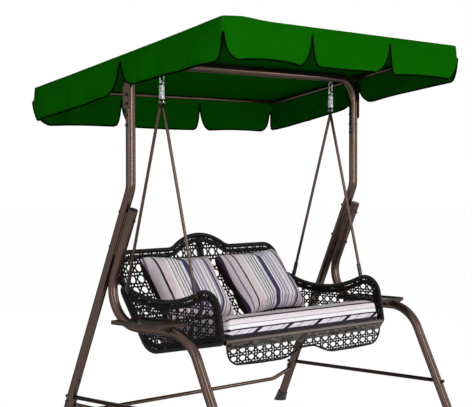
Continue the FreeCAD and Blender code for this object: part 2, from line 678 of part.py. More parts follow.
def canopy_rail(where, reach):
    """Two lengths of tube; the shorter one's narrowed end plugs into the longer one."""
    along, above = rail_place(where)
    seam = on_canopy(RAIL_SEAM_X, along, above)
    longer = pipe(on_canopy(-reach, along, above), seam, CANOPY_TUBE_D, CANOPY_TUBE_WALL)
    shorter = pipe(seam, on_canopy(reach, along, above), CANOPY_TUBE_D, CANOPY_TUBE_WALL)
    neck_d = CANOPY_TUBE_D - 2 * CANOPY_TUBE_WALL - 2 * SPIGOT_CLEARANCE
    neck = pipe(on_canopy(RAIL_SEAM_X - 50, along, above), on_canopy(RAIL_SEAM_X + 3, along, above),
                neck_d, CANOPY_TUBE_WALL)
    collar = pipe(seam, on_canopy(RAIL_SEAM_X + 3, along, above), CANOPY_TUBE_D - 1,
                  (CANOPY_TUBE_D - 1 - neck_d) / 2 + CANOPY_TUBE_WALL)
    return [longer, shorter.fuse(collar).fuse(neck)]


def flap_edge(length, count, drop_at, place):
    """The lower edge of one valance: count flaps with a narrow notch between each two.

    place(along, drop) gives a point; drop_at(along) is the height of cloth there.
    """
    points, radii = [], []
    width = length / count
    for i in range(count):
        left, right = i * width, (i + 1) * width
        for along, sign in ((left, 1), (right, -1)):
            low = place(along + sign * FLAP_GAP, drop_at(along + sign * FLAP_GAP))
            notch = place(along, FLAP_BAND)
            pair = [(notch, 0.0), (low, FLAP_CORNER_R)]
            if sign < 0:
                pair.reverse()
            for point, radius in pair:
                if points and (points[-1] - point).Length < 1e-6:
                    continue
                points.append(point)
                radii.append(radius)
    return points, radii


def make_canopy_fabric():
    half = CANOPY_HALF_WIDTH
    top = CANOPY_RISE
    under = top - CLOTH / 2
    front, rear = -CANOPY_FRONT, CANOPY_REAR
    corners = [on_canopy(-half, front, under), on_canopy(-half, rear, under),
               on_canopy(-half, rear, under + CLOTH), on_canopy(-half, front, under + CLOTH)]
    add("canopy_top", slab(Part.makePolygon(corners + [corners[0]]), V(2 * half, 0, 0)))
    slope = math.tan(rad(CANOPY_TILT))
    for where, along in (("front", front), ("rear", rear)):
        edge = on_canopy(0, along, under)
        outer_y = edge.y if where == "front" else edge.y - CLOTH
        top_z = edge.z - (CLOTH * slope if where == "front" else 0) - 0.05

        def place(x, drop, y=outer_y, z=top_z):
            return V(-half + x, y, z - drop)

        points, radii = flap_edge(2 * half, 3, lambda x: VALANCE, place)
        points += [place(2 * half, 0), place(0, 0)]
        wire = rounded_wire(points, radii + [0, 0], closed=True)
        add("canopy_valance_" + where, slab(wire, V(0, CLOTH, 0)))
    start = on_canopy(0, front, under).y + CLOTH + 0.05
    length = on_canopy(0, rear, under).y - CLOTH - 0.05 - start
    front_edge = on_canopy(0, front, under)
    for name, side in SIDES:
        x = side * half if side < 0 else half - CLOTH

        def place(along, drop):
            y = start + along
            return V(x, y, front_edge.z - (y - front_edge.y) * slope - 0.05 - drop)

        points, radii = flap_edge(length, 2, lambda a: VALANCE, place)
        points += [place(length, 0), place(0, 0)]
        wire = rounded_wire(points, radii + [0, 0], closed=True)
        add("canopy_valance_" + name, slab(wire, V(CLOTH, 0, 0)))


# --- hangers ----------------------------------------------------------------
def oval_link(centre_x, top_z, height, width, wire_d):
    """A closed link in the XZ plane, given by the centre line of its wire."""
    half = width / 2
    points = [V(centre_x - half, 0, top_z), V(centre_x + half, 0, top_z),
              V(centre_x + half, 0, top_z - height), V(centre_x - half, 0, top_z - height)]
    return sweep(rounded_wire(points, [half * 0.8] * 4, closed=True), wire_d / 2)


def make_hangers():
    eyes, links, pins = [], [], []
    wire_r = WIRE_D / 2
    eye_z = SWING_Z - wire_r - SEAT_GAP + EYE_R - wire_r
    link_bottom = SWING_Z - LINK_HEIGHT
    hook_inner = SPRING_HOOK_R - SPRING_WIRE_D / 2
    top_hook = link_bottom + wire_r + SEAT_GAP - hook_inner
    low_hook = APEX_Z - BOLT_D / 2 - SEAT_GAP + hook_inner
    for name, side in SIDES:
        x = side * HANGER_X
        neck = cylinder(V(x, 0, eye_z + EYE_R - 2), V(x, 0, BEAM_Z), 5.0)
        beam = cylinder(V(x - 30, 0, BEAM_Z), V(x + 30, 0, BEAM_Z), TUBE_R)
        eyes.append(ring(V(x, 0, eye_z), X_AXIS, EYE_R, wire_r).fuse(neck.cut(beam)))
        links.append(oval_link(x, SWING_Z, LINK_HEIGHT, LINK_WIDTH, WIRE_D))
        coil_top = top_hook - SPRING_HOOK_R + SPRING_WIRE_D / 2
        coil_low = low_hook + SPRING_HOOK_R - SPRING_WIRE_D / 2
        coil = pipe(V(x, 0, coil_low), V(x, 0, coil_top), SPRING_D, SPRING_WIRE_D)
        plates = cylinder(V(x, 0, coil_top - 3), V(x, 0, coil_top), SPRING_D / 2 - 1)
        plates = plates.fuse(cylinder(V(x, 0, coil_low), V(x, 0, coil_low + 3), SPRING_D / 2 - 1))
        spring = coil.fuse(plates)
        for z in (top_hook, low_hook):
            spring = spring.fuse(ring(V(x, 0, z), X_AXIS, SPRING_HOOK_R, SPRING_WIRE_D / 2))
        add("spring_" + name, spring)
        grip = SPRING_WIRE_D + 2 * (ROD_TAB + 4 * SEAT_GAP)
        pins += bolt(V(x + side * grip / 2, 0, APEX_Z), V(-side, 0, 0), grip, BOLT_D)
        for place, y in (("front", FRONT_ROD_Y), ("rear", REAR_ROD_Y)):
            make_rod(place, name, side, y)
    add("beam_eyes", eyes)
    add("hanger_links", links)
    add("hanger_pins", pins)


def arm_rim_point(y):
    """Height of the arm rim's axis at y, on its long hollow curve."""
    return ARM_DIP_Z + ARM_DIP_R - math.sqrt(ARM_DIP_R ** 2 - (y - ARM_DIP_Y) ** 2)


def make_rod(place, name, side, y):
    """A hanger rod with a flat tab at each end."""
    tab_shift = SPRING_WIRE_D / 2 + SEAT_GAP * 2 + ROD_TAB / 2
    top_x = HANGER_X + (tab_shift if place == "rear" else -tab_shift)
    low_x = ARM_X + RIM_R + SEAT_GAP + ROD_TAB / 2
    rod_low_x = low_x + ROD_D / 2 - 1
    top = V(side * top_x, 0, APEX_Z)
    low = V(side * rod_low_x, y, arm_rim_point(y))
    run = (low - top).normalize()
    shape = cylinder(top + run * ROD_START, low - run * ROD_STOP, ROD_D / 2)
    for centre, x, reach in ((top, top_x, ROD_START + 6), (low, low_x, ROD_STOP + 8)):
        towards = run if centre is top else run * -1
        across = V(0, towards.z, -towards.y).normalize() * (ROD_D / 2 - 0.5)
        foot = V(side * x - ROD_TAB / 2, centre.y, centre.z)
        far = foot + V(0, towards.y, towards.z) * reach
        strap = slab(Part.makePolygon([foot + across, far + across, far - across, foot - across, foot + across]),
                     V(ROD_TAB, 0, 0))
        disc = cylinder(foot, foot + V(ROD_TAB, 0, 0), ROD_TAB_R)
        shape = shape.fuse(disc.fuse(strap))
        shape = hole(shape, foot - V(20, 0, 0), foot + V(24, 0, 0), BOLT_D)
    add("hanger_rod_%s_%s" % (place, name), shape.removeSplitter())


# --- bench ------------------------------------------------------------------
def back_profile(offset):
    """Edges of the seat-to-back curve seen from the side, moved square to itself by offset."""
    deck, low, high = rad(-DECK_ANGLE), rad(BACK_ANGLE), rad(BACK_TOP_ANGLE)

    def normal(angle):
        return V(0, -math.sin(angle), math.cos(angle))

    def heading(angle):
        return V(0, math.cos(angle), math.sin(angle))

    def arc(centre, radius, first, last):
        ends = [centre - normal(a) * radius for a in (first, (first + last) / 2, last)]
        return Part.Arc(*ends).toShape()

    start = on_deck(0, DECK_LENGTH)
    bend = start + normal(deck) * BACK_BEND_R
    rise = bend - normal(low) * BACK_BEND_R
    curve_start = rise + heading(low) * BACK_LOW
    curve = curve_start + normal(low) * BACK_CURVE_R
    curve_end = curve - normal(high) * BACK_CURVE_R
    top = curve_end + heading(high) * ((BACK_HUMP_Z + RIM_D - curve_end.z) / math.sin(high))
    return {
        "bend": arc(bend, BACK_BEND_R - offset, deck, low),
        "rise": Part.LineSegment(rise + normal(low) * offset, curve_start + normal(low) * offset).toShape(),
        "curve": arc(curve, BACK_CURVE_R - offset, low, high),
        "upper": Part.LineSegment(curve_end + normal(high) * offset, top + normal(high) * offset).toShape(),
    }


def back_band(thickness, half_width):
    """The curved back as a plate of even thickness, from the rear of the deck to above the hump."""
    names = ("bend", "rise", "curve", "upper")
    inner, outer = back_profile(thickness / 2), back_profile(-thickness / 2)
    ends = []
    for edges in (inner, outer):
        ends.append((edges["bend"].valueAt(edges["bend"].FirstParameter),
                     edges["upper"].valueAt(edges["upper"].LastParameter)))
    edges = [inner[n] for n in names] + [outer[n] for n in names]
    edges.append(Part.LineSegment(ends[0][0], ends[1][0]).toShape())
    edges.append(Part.LineSegment(ends[0][1], ends[1][1]).toShape())
    wire = Part.Wire(Part.__sortEdges__(edges))
    band = slab(wire, V(2 * half_width, 0, 0))
    band.translate(V(-half_width, 0, 0))
    return band


def hump_points():
    """Where the hump's crown arc meets its flare, and where the flare meets the shoulder line."""
    crown_z = BACK_HUMP_Z - HUMP_R
    flare_z = BACK_SHOULDER_Z + HUMP_FLARE_R
    span = HUMP_R + HUMP_FLARE_R
    flare_x = math.sqrt(span ** 2 - (flare_z - crown_z) ** 2)
    joint = (flare_x * HUMP_R / span, crown_z + (flare_z - crown_z) * HUMP_R / span)
    return crown_z, flare_x, flare_z, joint


def back_outline(grow):
    """The back seen from the front, from the floor of the bench up, grown by grow past the rim's axis."""
    crown_z, flare_x, flare_z, joint = hump_points()
    half = ARM_X + grow
    corner_r = BACK_CORNER_R + grow
    top = BACK_SHOULDER_Z + grow
    crown_r, flare_r = HUMP_R + grow, HUMP_FLARE_R - grow
    angle = math.atan2(flare_x, flare_z - crown_z)
    low_z = 0.0
    edges = []

    def point(x, z):
        return V(x, 0, z)

    def both(a, b):
        edges.append(Part.LineSegment(point(*a), point(*b)).toShape())
        edges.append(Part.LineSegment(point(-a[0], a[1]), point(-b[0], b[1])).toShape())

    def both_arcs(centre, radius, first, last):
        for flip in (1, -1):
            three = []
            for a in (first, (first + last) / 2, last):
                three.append(point(flip * (centre[0] + radius * math.sin(a)), centre[1] + radius * math.cos(a)))
            edges.append(Part.Arc(*three).toShape())

    both((half, low_z), (half, top - corner_r))
    both_arcs((half - corner_r, top - corner_r), corner_r, math.pi / 2, 0)
    both((half - corner_r, top), (flare_x, top))
    both_arcs((flare_x, flare_z), flare_r, math.pi, math.pi + angle)
    crown = [point(-crown_r * math.sin(angle), crown_z + crown_r * math.cos(angle)), point(0, crown_z + crown_r),
             point(crown_r * math.sin(angle), crown_z + crown_r * math.cos(angle))]
    edges.append(Part.Arc(*crown).toShape())
    edges.append(Part.LineSegment(point(-half, low_z), point(half, low_z)).toShape())
    wire = Part.Wire(Part.__sortEdges__(edges))
    prism = slab(wire, V(0, 2 * FAR, 0))
    prism.translate(V(0, -FAR, 0))
    return prism


def arm_top_end():
    """Where the arm's top rim runs into the back's curve, in the arm plane."""
    z = arm_rim_point(REAR_ROD_Y + ARM_LEVEL_END)
    edge = back_profile(0)["rise"]
    low, high = edge.valueAt(edge.FirstParameter), edge.valueAt(edge.LastParameter)
    y = high.y + (z - high.z) * (high.y - low.y) / (high.z - low.z)
    return V(0, y, z)


def arm_loop(x):
    """Closed centre line of the arm's rim in the plane at x."""
    shift = V(x, 0, 0)
    hollow = V(x, ARM_DIP_Y, ARM_DIP_Z + ARM_DIP_R)
    reach = ARM_DIP_R + KNUCKLE_R
    knuckle_y = ARM_DIP_Y - math.sqrt(reach ** 2 - (hollow.z - KNUCKLE_Z) ** 2)
    knuckle = V(x, knuckle_y, KNUCKLE_Z)
    joint = knuckle + (hollow - knuckle).normalize() * KNUCKLE_R
    front = V(x, SEAT_FRONT_Y, SEAT_FRONT_Z)
    drop = front - knuckle
    lean = math.asin(KNUCKLE_R / drop.Length)
    base = math.atan2(drop.z, drop.y)
    side = base + lean
    leave = knuckle + V(0, math.sin(side), -math.cos(side)) * KNUCKLE_R
    profile = back_profile(0)
    end = arm_top_end() + shift
    meet = V(x, REAR_ROD_Y + ARM_LEVEL_END, end.z)
    half_way = V(x, (joint.y + meet.y) / 2, arm_rim_point((joint.y + meet.y) / 2))
    top = (leave - knuckle) + (joint - knuckle)
    crown = knuckle + top.normalize() * KNUCKLE_R
    bend = profile["bend"].copy()
    bend.translate(shift)
    rise = bend.valueAt(bend.LastParameter)
    deck_end = bend.valueAt(bend.FirstParameter)
    edges = [Part.Arc(joint, half_way, meet).toShape(), Part.LineSegment(meet, end).toShape(),
             Part.LineSegment(end, rise).toShape(), bend, Part.LineSegment(deck_end, front).toShape(),
             Part.LineSegment(front, leave).toShape(), Part.Arc(leave, crown, joint).toShape()]
    return Part.Wire(Part.__sortEdges__(edges))


def bar_along(wire, radius):
    """A round bar along each edge of a wire, with a ball at each corner."""
    shape = None
    for edge in wire.Edges:
        bar = sweep(Part.Wire([edge]), radius)
        shape = bar if shape is None else shape.fuse(bar)
    for vertex in wire.Vertexes:
        shape = shape.fuse(Part.makeSphere(radius, vertex.Point))
    return shape.removeSplitter()


def make_arm(name, side):
    x = side * ARM_X
    wire = arm_loop(x)
    rim = bar_along(wire, RIM_R)
    panel = Part.Face(wire).extrude(V(PANEL, 0, 0))
    panel.translate(V(-PANEL / 2, 0, 0))
    panel = panel.cut(bar_along(wire, RIM_R + FIT))
    for y in (FRONT_ROD_Y, REAR_ROD_Y):
        z = arm_rim_point(y)
        rim = hole(rim, V(x - 30, y, z), V(x + 30, y, z), BOLT_D)
    add("arm_frame_" + name, rim)
    add("arm_panel_" + name, largest(panel))


def largest(shape):
    return max(shape.Solids, key=lambda s: s.Volume)


def make_back():
    inner_x = ARM_X - RIM_R - SEAT_GAP
    arm_top = arm_top_end().z + RIM_R
    above_arm = Part.makeBox(2 * FAR, 2 * FAR, FAR, V(-FAR, -FAR, arm_top))
    rim = back_band(RIM_D, ARM_X + RIM_D).common(back_outline(RIM_R)).cut(back_outline(-RIM_R))
    rim = rim.common(above_arm)
    add("back_frame", largest(rim))
    low = Part.makeBox(2 * inner_x, 2 * FAR, arm_top, V(-inner_x, -FAR, 0))
    high = above_arm.common(back_outline(-RIM_R - SEAT_GAP / 2))
    panel = back_band(PANEL, ARM_X).common(low.fuse(high))
    add("back_panel", largest(panel))


def make_seat():
    inner_x = ARM_X - RIM_R
    rail_r = SEAT_RAIL_D / 2
    rail = pipe(on_deck(-inner_x, 0), on_deck(inner_x, 0), SEAT_RAIL_D, THIN_TUBE_WALL)
    tubes = [rail]
    for along in CROSS_TUBES_AT:
        tubes.append(pipe(on_deck(-inner_x, along, -1), on_deck(inner_x, along, -1), 11.0, THIN_TUBE_WALL))
    add("seat_frame", tubes)
    half = inner_x - SEAT_GAP
    low = DECK_LIFT - PANEL / 2
    corners = [on_deck(-half, 4, low), on_deck(-half, DECK_LENGTH - 8, low),
               on_deck(-half, DECK_LENGTH - 8, low + PANEL), on_deck(-half, 4, low + PANEL)]
    deck = slab(Part.makePolygon(corners + [corners[0]]), V(2 * half, 0, 0))
    add("seat_panel", deck.cut(cylinder(on_deck(-half, 0), on_deck(half, 0), rail_r + FIT)))
    top = SEAT_FRONT_Z - rail_r
    y = SEAT_FRONT_Y - PANEL / 2
    half = APRON_HALF_WIDTH

    def place(x, z):
        return V(x, y, z)

    low, notch = APRON_BOTTOM_Z, APRON_NOTCH_Z
    side = half - APRON_SIDE_LEAN
    corner = low + APRON_CORNER_RISE
    points = [place(-half, top), place(-side, corner), place(-APRON_LOBE_TO, low), place(-APRON_LOBE_FROM, low),
              place(-APRON_NOTCH_HALF, notch), place(APRON_NOTCH_HALF, notch), place(APRON_LOBE_FROM, low),
              place(APRON_LOBE_TO, low), place(side, corner), place(half, top)]
    wire = rounded_wire(points, [0, APRON_CORNER_R, 600, 190, 90, 90, 190, 600, APRON_CORNER_R, 0], closed=True)
    add("apron_panel", slab(wire, V(0, PANEL, 0)))


def make_cushions():
    low = DECK_LIFT + PANEL / 2 + SEAT_GAP
    high = low + CUSHION_THICK
    half = CUSHION_HALF_WIDTH
    points = [on_deck(-half, CUSHION_FRONT, low), on_deck(-half, CUSHION_REAR, low),
              on_deck(-half, CUSHION_TOP_REAR, high), on_deck(-half, CUSHION_FRONT, high)]
    add("seat_cushion", slab(rounded_wire(points, [14, 20, 24, 22], closed=True), V(2 * half, 0, 0)))
    lean = rad(PILLOW_ANGLE)
    up = V(0, math.cos(lean), math.sin(lean))
    out = V(0, -math.sin(lean), math.cos(lean))
    deck_rear = on_deck(0, DECK_LENGTH)
    foot = deck_rear + V(0, *PILLOW_FOOT_FROM_DECK)

    def bulge(span, origin, along, sweep_way):
        edge, mid = PILLOW_EDGE / 2, PILLOW_THICK / 2
        corners = [(0, edge), (span * 0.22, mid), (span * 0.78, mid), (span, edge)]
        corners += [(a, -h) for a, h in reversed(corners)]
        points = [origin + along * a + out * h for a, h in corners]
        return slab(Part.makePolygon(points + [points[0]]), sweep_way)

    for name, side in SIDES:
        outer = side * (CUSHION_HALF_WIDTH - PILLOW_SIDE_GAP[name])
        corner = foot + V(min(outer, outer - side * PILLOW_WIDTH), 0, 0)
        tall = bulge(PILLOW_HEIGHT, corner, up, X_AXIS * PILLOW_WIDTH)
        wide = bulge(PILLOW_WIDTH, corner, X_AXIS, up * PILLOW_HEIGHT)
        add("back_pillow_" + name, tall.common(wide))


def make_rod_bolts():
    bolts = []
    for name, side in SIDES:
        for y in (FRONT_ROD_Y, REAR_ROD_Y):
            face = V(side * (ARM_X + RIM_R + SEAT_GAP + ROD_TAB), y, arm_rim_point(y))
            bolts += bolt(face, V(-side, 0, 0), RIM_D + SEAT_GAP + ROD_TAB, BOLT_D, head_d=14.0)
    add("rod_bolts", bolts)


# --- assembly ---------------------------------------------------------------
def write_parts():
    os.makedirs("parts", exist_ok=True)
    everything = Part.makeCompound([solid for solids in parts.values() for solid in solids])
    box = everything.optimalBoundingBox(False)
    shift = V(0, -(box.YMin + box.YMax) / 2, 0)
    for name, solids in parts.items():
        solids = [one for shape in solids for one in shape.Solids]
        shape = solids[0] if len(solids) == 1 else Part.makeCompound(solids)
        shape = shape.copy()
        shape.translate(shift)
        if not shape.isValid():
            print("not valid:", name)
        shape.exportStep("parts/%s.step" % name)
        print("%-26s %2d solids %9.1f cm3" % (name, len(solids), shape.Volume / 1000))
    print("slid along Y by %.3f" % shift.y)
    print("box", box)
    print("nodes", len(parts))


def main():
    make_top_beam()
    for name, side in SIDES:
        make_upright(name, side)
        make_rear_leg(name, side)
        make_lower_leg(name, side)
        make_front_leg(name, side)
        make_stretcher(name, side)
        make_tray(name, side)
        make_arm(name, side)
    make_leg_spacers()
    make_leg_caps()
    make_feet()
    make_cross_bar()
    make_frame_bolts()
    make_brackets()
    make_knobs()
    make_canopy_frame()
    make_canopy_fabric()
    make_hangers()
    make_back()
    make_seat()
    make_rod_bolts()
    make_cushions()
    write_parts()


main()
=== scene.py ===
"""The looks of a canopy swing bench: painted tubes, sewn canopy, woven cane, striped cushions.

Everything is in metres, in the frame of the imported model.
"""
import json
import math

import bmesh
import bpy
import numpy as np
from mathutils import Matrix, Vector, noise


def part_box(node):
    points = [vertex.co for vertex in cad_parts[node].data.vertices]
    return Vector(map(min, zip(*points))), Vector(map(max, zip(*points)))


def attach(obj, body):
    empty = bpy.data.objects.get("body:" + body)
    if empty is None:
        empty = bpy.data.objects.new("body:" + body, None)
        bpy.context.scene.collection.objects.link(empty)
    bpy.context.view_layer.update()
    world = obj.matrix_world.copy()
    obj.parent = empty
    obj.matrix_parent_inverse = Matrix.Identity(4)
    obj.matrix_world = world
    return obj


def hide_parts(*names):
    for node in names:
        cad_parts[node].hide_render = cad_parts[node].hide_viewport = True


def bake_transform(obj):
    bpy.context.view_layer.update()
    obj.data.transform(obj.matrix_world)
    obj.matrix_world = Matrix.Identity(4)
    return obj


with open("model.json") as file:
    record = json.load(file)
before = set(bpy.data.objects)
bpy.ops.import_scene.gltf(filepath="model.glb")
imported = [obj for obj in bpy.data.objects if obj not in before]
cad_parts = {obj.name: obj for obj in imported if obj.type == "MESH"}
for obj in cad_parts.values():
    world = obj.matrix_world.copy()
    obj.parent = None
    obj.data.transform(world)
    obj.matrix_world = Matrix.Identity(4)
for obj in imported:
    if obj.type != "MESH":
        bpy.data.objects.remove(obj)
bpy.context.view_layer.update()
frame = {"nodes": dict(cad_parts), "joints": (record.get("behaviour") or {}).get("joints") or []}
nodes = frame["nodes"]
joints = {joint["name"]: joint for joint in frame["joints"]}
scene = bpy.context.scene
SIDES = (("left", -1.0), ("right", 1.0))
SWING = Vector(joints["seat_swing"]["pos_m"])
PIVOT = Vector(joints["canopy_tilt"]["pos_m"])
MID_Y = SWING.y                       # the plane of the top beam

# --- sizes ------------------------------------------------------------------
RIM_R = 0.011                         # half thickness of the bench's wrapped rims
ARM_X = 0.54                          # distance of the arms from the middle
DECK_FRONT = Vector((0.0, MID_Y - 0.345, 0.505))
DECK_SLOPE = math.radians(10.2)
DECK_LENGTH = 0.411
BACK_BEND_R = 0.090
BACK_ANGLE = math.radians(56.0)
BACK_STRAIGHT = 0.240
BACK_CURVE_R = 0.350
BACK_TOP_ANGLE = math.radians(78.0)
BACK_SHOULDER_Z = 0.851
BACK_HUMP_Z = 0.913
BACK_CORNER_R = 0.094
HUMP_R = 0.290
HUMP_FLARE_R = 0.090
CANOPY_TILT = math.radians(10.2)
CANOPY_FRONT = 0.607                  # how far the top reaches along its slope, before the pivot
CANOPY_REAR = 0.618                   # and behind it
CANOPY_RISE = 0.0207                  # height of the top over the pivot
VALANCE = 0.166                       # how far the edge hangs down
ROD_TOP_X = 0.565
ROD_TOP_Z = 1.520
ROD_FOOT_X = 0.559
ROD_FEET_Y = (("front", -0.200), ("rear", 0.240))
PILLOW_LEAN = math.radians(51.5)
PILLOW_TALL = 0.372
PILLOW_THICK = 0.120
PILLOW_EDGE = 0.012                   # half thickness beside the sewn edge
PILLOW_OVERHANG = 0.026               # how much wider than its plain form
PILLOW_DROP = 0.015                   # how far below its plain form
PILLOW_TURN = {"left": -0.05, "right": 0.04}
PILLOW_REPEAT = 0.345                 # one repeat of the stripes on the pillows
PILLOW_FIRST_STRIPE = {"left": 0.036, "right": 0.055}
CUSHION_THICK = 0.090
CUSHION_FRONT = -0.012
CUSHION_REAR = 0.432
CUSHION_TOP_REAR = 0.488
CUSHION_BASE = 0.0128                 # height of its underside over the deck's middle line
CUSHION_REPEAT = 0.34
BOXING_TALL = 0.036                   # the lower front band, below the first seam
BOXING_REPEAT = 0.20
FACE_DEEP = 0.03                      # how far back the front face's stripes reach
PLAIT_STEP = 0.0028
FLAT_PLACE = "flat_place"             # the stored place of each cloth point before it is shaped


# --- node trees -------------------------------------------------------------
class Graph:
    """Adds nodes to one tree and links whatever sockets it is given."""

    def __init__(self, tree):
        self.tree = tree

    def add(self, kind, inputs=None, **settings):
        made = self.tree.nodes.new(kind)
        for key, value in settings.items():
            setattr(made, key, value)
        for key, value in (inputs or {}).items():
            self.feed(made.inputs[key], value)
        return made

    def feed(self, socket, value):
        if isinstance(value, bpy.types.NodeSocket):
            self.tree.links.new(value, socket)
        else:
            socket.default_value = value

    def math(self, operation, first, second=0.0, third=0.0, clamp=False):
        inputs = {0: first, 1: second, 2: third}
        return self.add("ShaderNodeMath", inputs, operation=operation, use_clamp=clamp).outputs[0]

    def vector(self, operation, first, second=(0, 0, 0)):
        inputs = {0: first, 1: second}
        return self.add("ShaderNodeVectorMath", inputs, operation=operation).outputs["Vector"]

    def scaled(self, vector, factor):
        made = self.add("ShaderNodeVectorMath", {0: vector}, operation="SCALE")
        self.feed(made.inputs["Scale"], factor)
        return made.outputs["Vector"]

    def parts(self, vector):
        return self.add("ShaderNodeSeparateXYZ", {0: vector}).outputs

    def combine(self, x=0.0, y=0.0, z=0.0):
        return self.add("ShaderNodeCombineXYZ", {0: x, 1: y, 2: z}).outputs[0]


def new_tree(name, kind, inputs, outputs):
    """A node group with named sockets; returns its graph, its input sockets and its output node."""
    tree = bpy.data.node_groups.new(name, kind)
    for label, socket_kind, value in inputs:
        socket = tree.interface.new_socket(label, in_out="INPUT", socket_type=socket_kind)
        if value is not None:
            socket.default_value = value
    for label, socket_kind in outputs:
        tree.interface.new_socket(label, in_out="OUTPUT", socket_type=socket_kind)
    graph = Graph(tree)
    given = graph.add("NodeGroupInput").outputs
    result = graph.add("NodeGroupOutput")
    return graph, given, result


FLOAT, COLOR, VECTOR = "NodeSocketFloat", "NodeSocketColor", "NodeSocketVector"
GEOMETRY, MATERIAL = "NodeSocketGeometry", "NodeSocketMaterial"
OBJECT, INT = "NodeSocketObject", "NodeSocketInt"


def shape_tree(name, inputs):
    """A geometry tree that takes and gives one geometry."""
    inputs = [("Geometry", GEOMETRY, None)] + inputs + [("Material", MATERIAL, None)]
    graph, given, result = new_tree(name, "GeometryNodeTree", inputs, [("Geometry", GEOMETRY)])
    graph.tree.is_modifier = True
    return graph, given, result


def close_tree(graph, given, result, geometry):
    """The end of every geometry tree: plain mesh, smooth, with its material."""
    real = graph.add("GeometryNodeRealizeInstances", {"Geometry": geometry}).outputs[0]
    smooth = graph.add("GeometryNodeSetShadeSmooth", {"Geometry": real}).outputs[0]
    inputs = {"Geometry": smooth, "Material": given["Material"]}
    painted = graph.add("GeometryNodeSetMaterial", inputs).outputs[0]
    graph.feed(result.inputs[0], painted)


def curve_of(graph, mesh):
    return graph.add("GeometryNodeMeshToCurve", {"Mesh": mesh}).outputs[0]


def circle_of(graph, radius, sides):
    inputs = {"Resolution": sides, "Radius": radius}
    return graph.add("GeometryNodeCurvePrimitiveCircle", inputs, mode="RADIUS").outputs[0]


def swept(graph, curve, profile, caps=True):
    inputs = {"Curve": curve, "Profile Curve": profile, "Fill Caps": caps}
    return graph.add("GeometryNodeCurveToMesh", inputs).outputs[0]


# --- meshes -----------------------------------------------------------------
def show(name, mesh):
    """A new piece in the scene that holds the mesh."""
    piece = bpy.data.objects.new(name, mesh)
    scene.collection.objects.link(piece)
    return piece


def mesh_from(name, points, faces=(), edges=()):
    mesh = bpy.data.meshes.new(name)
    mesh.from_pydata([tuple(p) for p in points], list(edges), list(faces))
    mesh.update()
    return mesh


def path_mesh(name, lines):
    """Several polylines as one mesh of edges; each line is (points, closed)."""
    points, edges = [], []
    for line, closed in lines:
        first = len(points)
        points += list(line)
        edges += [(first + i, first + i + 1) for i in range(len(line) - 1)]
        if closed:
            edges.append((len(points) - 1, first))
    return mesh_from(name, points, edges=edges)


def set_inputs(modifier, values):
    """Sets a node tree's named inputs on one modifier."""
    for item in modifier.node_group.interface.items_tree:
        if item.item_type == "SOCKET" and item.in_out == "INPUT" and item.name in values:
            modifier[item.identifier] = values[item.name]


def grow(name, source, steps):
    """Runs node trees on a mesh, one after another, and gives the result as one plain piece."""
    helper = show(name + "_source", source)
    for tree, values in steps:
        modifier = helper.modifiers.new("shape", "NODES")
        modifier.node_group = tree
        set_inputs(modifier, values)
    return bake(name, helper)


def bake(name, helper):
    """The evaluated mesh of a helper object as a new plain piece; the helper goes."""
    bpy.context.view_layer.update()
    graph = bpy.context.evaluated_depsgraph_get()
    mesh = bpy.data.meshes.new_from_object(helper.evaluated_get(graph))
    mesh.name = name
    bpy.data.objects.remove(helper)
    return show(name, mesh)


def coordinates(mesh):
    """All points of a mesh as rows of an array."""
    values = np.zeros(len(mesh.vertices) * 3)
    mesh.vertices.foreach_get("co", values)
    return values.reshape(-1, 3)


def move_points(mesh, points):
    mesh.vertices.foreach_set("co", np.asarray(points, dtype=float).ravel())
    mesh.update()


def smooth(mesh):
    mesh.polygons.foreach_set("use_smooth", [True] * len(mesh.polygons))


def subdivide(piece):
    """One level of rounding, the same in the view and the render."""
    rounding = piece.modifiers.new("round", "SUBSURF")
    rounding.levels = 1
    rounding.render_levels = 1


def paint(piece, *materials):
    for material in materials:
        piece.data.materials.append(material)


def ride(piece, body, slot, *replaced):
    """Fixes a piece to a body and hides the CAD nodes it stands for; the slot argument is not used."""
    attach(piece, body)
    if replaced:
        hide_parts(*replaced)
    return piece


def outline_of(node, facing):
    """The boundary of a CAD plate's faces that look one way, as an ordered loop of points."""
    plate = bmesh.new()
    plate.from_mesh(nodes[node].data)
    bmesh.ops.remove_doubles(plate, verts=plate.verts, dist=1e-5)
    plate.normal_update()
    other = [f for f in plate.faces if f.normal.dot(Vector(facing)) < 0.95]
    bmesh.ops.delete(plate, geom=other, context="FACES")
    border = [e for e in plate.edges if len(e.link_faces) == 1]
    links = {}
    for edge in border:
        a, b = edge.verts
        links.setdefault(a.index, []).append(b.index)
        links.setdefault(b.index, []).append(a.index)
    plate.verts.ensure_lookup_table()
    places = {v.index: v.co.copy() for v in plate.verts}
    plate.free()
    loops = []
    while links:
        start = next(iter(links))
        loop, here, last = [start], links[start][0], start
        while here != start:
            loop.append(here)
            last, here = here, next((n for n in links[here] if n != last), start)
        for index in loop:
            links.pop(index, None)
        loops.append([places[i] for i in loop])
    return max(loops, key=lambda loop: sum((a - b).length for a, b in zip(loop, loop[1:])))


def resampled(points, step, closed):
    """The same polyline with points an even distance apart."""
    line = [Vector(p) for p in points]
    if closed:
        line.append(line[0])
    lengths = np.cumsum([0.0] + [(b - a).length for a, b in zip(line, line[1:])])
    count = max(3, round(lengths[-1] / step))
    stops = np.linspace(0, lengths[-1], count + 1)
    values = np.array([tuple(p) for p in line])
    even = np.stack([np.interp(stops, lengths, values[:, k]) for k in range(3)], axis=1)
    return [Vector(p) for p in (even[:-1] if closed else even)]


